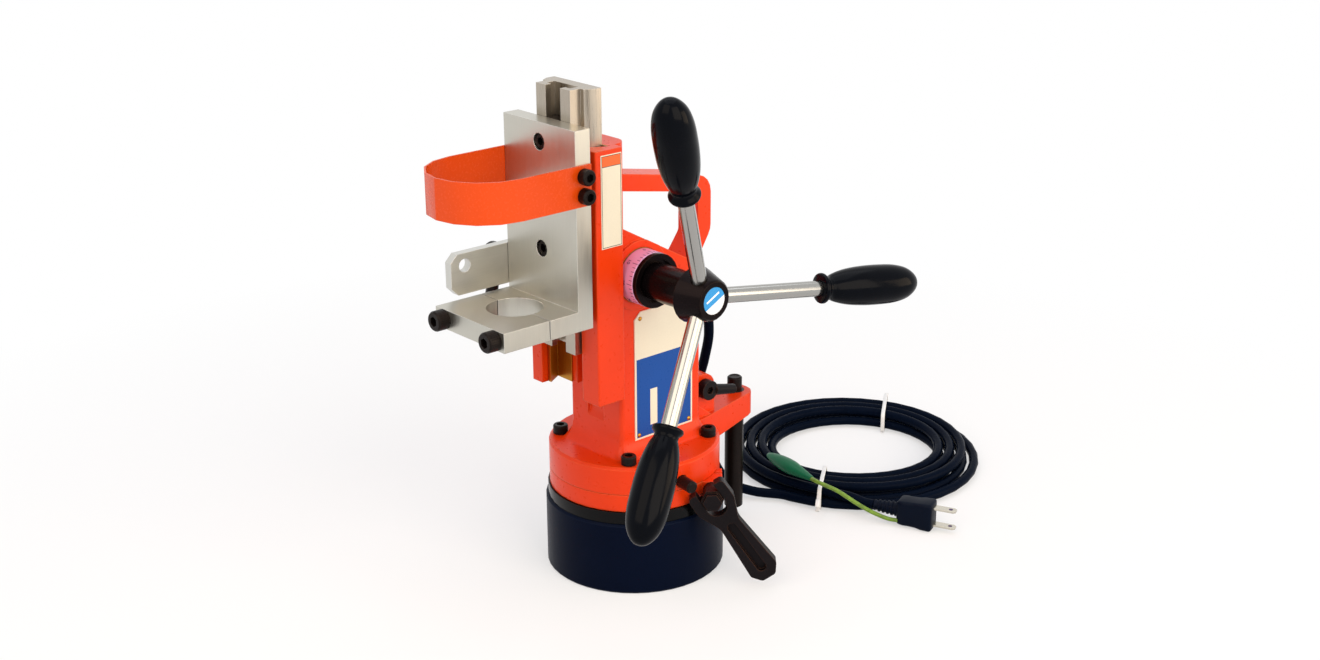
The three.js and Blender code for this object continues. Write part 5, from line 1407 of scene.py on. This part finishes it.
    def blades(self) -> BMesh:
        """Stamps the two flat blades, each with a dark disc on both faces painted as the shade of
        its hole.

        Returns:
            Both blades as one shape, with the second material number for the painted hole shade.
        """
        shapes = []
        start = self.plug_length / 2 - self.blade_root
        end = self.plug_length / 2 + self.blade_length
        w, cut, thickness = self.blade_width / 2, self.blade_corner, self.blade_thickness
        hole = self.hole_radius
        outline = [(start, -w), (end - cut, -w), (end, cut - w), (end, w - cut), (end - cut, w),
                   (start, w)]
        for side in (-1, 1):
            middle = side * self.blade_pitch / 2
            stand = moved(0, middle + thickness / 2, 0) @ UPRIGHT
            shapes.append(placed(plate(outline, thickness, 0.25), stand))
            for face in (-1, 1):
                # a thin dark disc on each face, painted where the hole is as its shade
                dark = spun([(0, 0), (hole, 0), (hole, 0.04), (0, 0.04)], 20)
                at = moved(end - self.hole_inset, middle + face * thickness / 2, 0)
                for polygon in dark.faces:
                    polygon.material_index = 1
                shapes.append(placed(dark, at @ facing(Vector((0, face, 0)))))
        return merged(shapes)

    def boot(self) -> BMesh:
        """Moulds the earth clip's green boot, swollen in the middle and thin at its ends.

        Returns:
            The boot's shape, in its place.
        """
        half, r = self.clip_length / 2, self.clip_radius
        line = [Vector((radius * r, 0, along * half)) for along, radius in self.boot_line]
        bm = spun([(0, -half), *[(p.x, p.z) for p in centripetal(line, 5)], (0, half)], 32)
        bmesh.ops.scale(bm, vec=(1, self.clip_flatness, 1), verts=bm.verts)
        return placed(bm, self.clip_frame() @ ONTO_X)

    def earth_route(self) -> list[Vector]:
        """Gives the earth wire's centreline, from inside the plug's rear edge to the boot.

        Returns:
            The points of the centreline, in millimetres.
        """
        plug, clip, r = self.plug_frame(), self.clip_frame(), self.wire_radius
        rear, end, side = -self.plug_length / 2, -self.clip_length / 2, self.wire_place
        points = [plug @ Vector((rear - along, -side, side)) for along in (-r, 4 * r)]
        points += map(Vector, self.wire_points)
        points += [clip @ Vector((end - along, 0, 0)) for along in (4 * r, -1.5 * r)]
        return centripetal(points, 8)

    def tie(self, name: str, turn: float, slant: float) -> Object:
        """Wraps a flat tie round the pile of loops and leaves two curled ends.

        Args:
            name: The CAD node that it stands for.
            turn: Its place round the coil, in degrees.
            slant: Its own turn from straight across the loops, in degrees.

        Returns:
            The tie.
        """
        inner = self.inner - self.radius - self.pitch / 4
        outer = self.outer + self.radius + 0.25
        reach = (outer - inner) / 2 / math.cos(math.radians(slant)) + 0.5
        low, high = self.tie_low, self.lift + 2 * self.radius + self.layer_rise + 0.75
        r = self.tie_corner
        centres = [(reach - r, high - r), (r - reach, high - r), (r - reach, low + r),
                   (reach - r, low + r)]
        band = [
            Vector((x, y, 0)) + heading(90 * quarter + 22.5 * k) * r
            for quarter, (x, y) in enumerate(centres)
            for k in range(5)
        ]
        data = bpy.data.curves.new(name, "CURVE")
        data.dimensions, data.fill_mode, data.bevel_resolution = "2D", "NONE", 2
        data.extrude, data.bevel_depth = self.tie_width / 2 - self.tie_half, self.tie_half
        add_spline(data, band, closed=True)
        for end in self.tie_ends:
            add_spline(data, centripetal([Vector((reach + x, high + y, 0)) for x, y in end], 5))
        at = moved(self.coil_x, self.coil_y, 0) @ turned(turn)
        at = at @ moved((inner + outer) / 2, 0, 0) @ turned(slant) @ UPRIGHT
        return piece(name + "_wrap", placed(meshed(data), at), [TIE_WHITE], "column", (name,))

    def build(self) -> None:
        """Makes the cord, its ties, its plug and the earth lead."""
        points, place = self.route(), self.plug_frame()
        relief = piece("strain_relief", self.relief(), [PLUG_PVC], "column", ("cord_gland",))
        shell, blades = placed(self.shell(), place), placed(self.blades(), place)
        body = piece("plug_body", shell, [PLUG_PVC], "column", ("mains_plug",))
        # the second finish paints the shade of the blades' holes
        pins = piece("plug_blades", blades, [PIN_NICKEL, INK_AND_HOLE_SHADE], "column")
        ties = [self.tie(*row) for row in self.ties]
        cord = self.curve("mains_cord", points, self.radius, CORD_PVC)
        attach(cord, "column")
        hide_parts("cord_lead", "cord_coil", "cord_tail")
        boot = piece("earth_boot", self.boot(), [BOOT_GREEN], "column", ("earth_lead",))
        wire_points = self.earth_route()
        wire = self.curve("earth_wire", wire_points, self.wire_radius, WIRE_GREEN)
        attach(wire, "column")


# ---------------------------------------------------------------- studio


@dataclass
class Studio:
    """Camera at the photograph's angle, a pale floor and plain soft lamps.

    Attributes hold the camera's sizes in millimetres, turns in degrees and the frame in pixels.
    The floor and the lamps are in metres and watts.
    """

    width: float = 1320.0
    height: float = 660.0
    sensor: float = 36.0
    focal: float = 1812.62
    azimuth: float = 47.97
    elevation: float = 19.70
    roll: float = -0.10
    centre_x: float = 674.20
    centre_y: float = 326.38
    distance: float = 1189.79
    target_side: float = 26.85
    target_z: float = 165.12
    clip: Pair = (0.01, 50.0)
    fill: float = 0.5
    floor_grey: float = 0.86
    floor_radius: float = 9.0
    floor_drop: float = 0.0002
    fade: Pair = (0.25, 0.7)
    lamp_target: Point = (0.0, 0.0, 0.17)
    lamps: tuple[tuple[str, Point, float, float, str], ...] = (
        ("key", (0.3, -1.5, 1.3), 1.6, 16, "#FFEBD2"),
        ("side", (1.7, -0.1, 0.9), 1.5, 22, "#FFEFDA"),
        ("top", (-0.2, 0.2, 1.9), 1.8, 12, "#F4F8FF"),
        ("low side", (1.35, 1.15, 0.45), 0.9, 9, "#FFE3BE"),
    )

    def camera(self) -> None:
        """Sets the camera up from the fit to the photograph."""
        el, roll = math.radians(self.elevation), math.radians(self.roll)
        side = heading(self.azimuth)
        back = heading(self.azimuth - 90) * math.cos(el) + Z * math.sin(el)
        rise = back.cross(side)
        right = side * math.cos(roll) + rise * math.sin(roll)
        up = rise * math.cos(roll) - side * math.sin(roll)
        data = bpy.data.cameras.new("camera")
        data.sensor_fit, data.sensor_width = "HORIZONTAL", self.sensor
        data.lens = self.focal / self.width * self.sensor
        data.shift_x = (self.width / 2 - self.centre_x) / self.width
        data.shift_y = (self.centre_y - self.height / 2) / self.width
        data.clip_start, data.clip_end = self.clip
        made = shown("camera", data)
        place = Matrix((right, up, back)).transposed().to_4x4()
        at = side * self.target_side + Z * self.target_z + back * self.distance
        place.translation = at * MM
        made.matrix_world = place
        bpy.context.scene.camera = made

    def lamp(self, name: str, at: Point, size: float, watts: float, tint: str) -> None:
        """Hangs one square soft lamp that looks at the stand.

        Args:
            name: The lamp's name.
            at: Its place, in metres.
            size: Its side, in metres.
            watts: Its power.
            tint: Its colour as sRGB hex.
        """
        data = bpy.data.lights.new(name, "AREA")
        data.size, data.energy, data.color = size, watts, linear(tint)[:3]
        place = facing(Vector(at) - Vector(self.lamp_target))
        place.translation = at
        shown(name, data).matrix_world = place

    def seen(self, tree: NodeTree) -> Node:
        """Tells the rays that show the background, straight or in gloss and glass, from others.

        Args:
            tree: The nodes of the floor or the world.

        Returns:
            One for a ray that shows the background, and nought for the others.
        """
        ray = add_node(tree, "ShaderNodeLightPath").outputs
        straight, gloss, glass = (
            ray[kind] for kind in ("Is Camera Ray", "Is Glossy Ray", "Is Transmission Ray")
        )
        either = add_node(tree, "ShaderNodeMath", {"operation": "MAXIMUM", 0: gloss, 1: glass})
        return add_node(tree, "ShaderNodeMath", {"operation": "MAXIMUM", 0: straight, 1: either})

    def floor_paint(self) -> Material:
        """Makes the floor's matt paint: it keeps the stand's shadow and fades to plain white.

        Returns:
            The floor's material.
        """
        made = bpy.data.materials.new("matt white floor")
        tree = emptied(made)
        grey = self.floor_grey
        paint = add_node(
            tree, "ShaderNodeBsdfDiffuse", {"Color": (grey, grey, grey, 1), "Roughness": 0.6}
        )
        white = add_node(tree, "ShaderNodeEmission", {"Color": (1, 1, 1, 1), "Strength": 1.0})
        place = add_node(tree, "ShaderNodeTexCoord")
        far = add_node(
            tree, "ShaderNodeVectorMath", {"operation": "LENGTH", 0: place.outputs["Object"]}
        ).outputs["Value"]
        fade = add_node(
            tree, "ShaderNodeMapRange", {0: far, 1: self.fade[0], 2: self.fade[1], 3: 0.5, 4: 1.0}
        )
        share = add_node(
            tree, "ShaderNodeMath", {"operation": "MULTIPLY", 0: fade, 1: self.seen(tree)}
        )
        mix = add_node(tree, "ShaderNodeMixShader", {0: share, 1: paint, 2: white})
        add_node(tree, "ShaderNodeOutputMaterial", {"Surface": mix})
        return made

    def sky(self) -> None:
        """Makes the world: white where it is seen, and a soft, slightly cool fill elsewhere."""
        world = bpy.data.worlds.new("pale studio")
        bpy.context.scene.world = world
        tree = emptied(world)
        fill, white = (
            add_node(tree, "ShaderNodeBackground", {"Color": linear(tint), "Strength": strength})
            for tint, strength in (("#E6EEFF", self.fill), ("#FFFFFF", 1.0))
        )
        mix = add_node(tree, "ShaderNodeMixShader", {0: self.seen(tree), 1: fill, 2: white})
        add_node(tree, "ShaderNodeOutputWorld", {"Surface": mix})

    def build(self) -> None:
        """Makes the floor, the world, the lamps and the camera."""
        bm = bmesh.new()
        bmesh.ops.create_circle(bm, segments=96, radius=self.floor_radius, cap_ends=True)
        bmesh.ops.translate(bm, verts=bm.verts, vec=-Z * self.floor_drop)
        mesh = bpy.data.meshes.new("floor")
        bm.to_mesh(mesh)
        bm.free()
        mesh.materials.append(self.floor_paint())
        floor = shown("floor", mesh)
        self.sky()
        for row in self.lamps:
            self.lamp(*row)
        bpy.context.scene.view_settings.view_transform = "Standard"
        self.camera()
        LOG.info("studio ready")


def main() -> None:
    """Builds the looks, piece by piece."""
    logging.basicConfig(level=logging.INFO, format="%(name)s: %(message)s")
    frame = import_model()
    Studio().build()
    MainsCord().build()
    dress_nodes(frame)
    for part in (SocketScrews(), Capstan(), Plates(), Jack()):
        part.build()


if __name__ == "__main__":
    main()
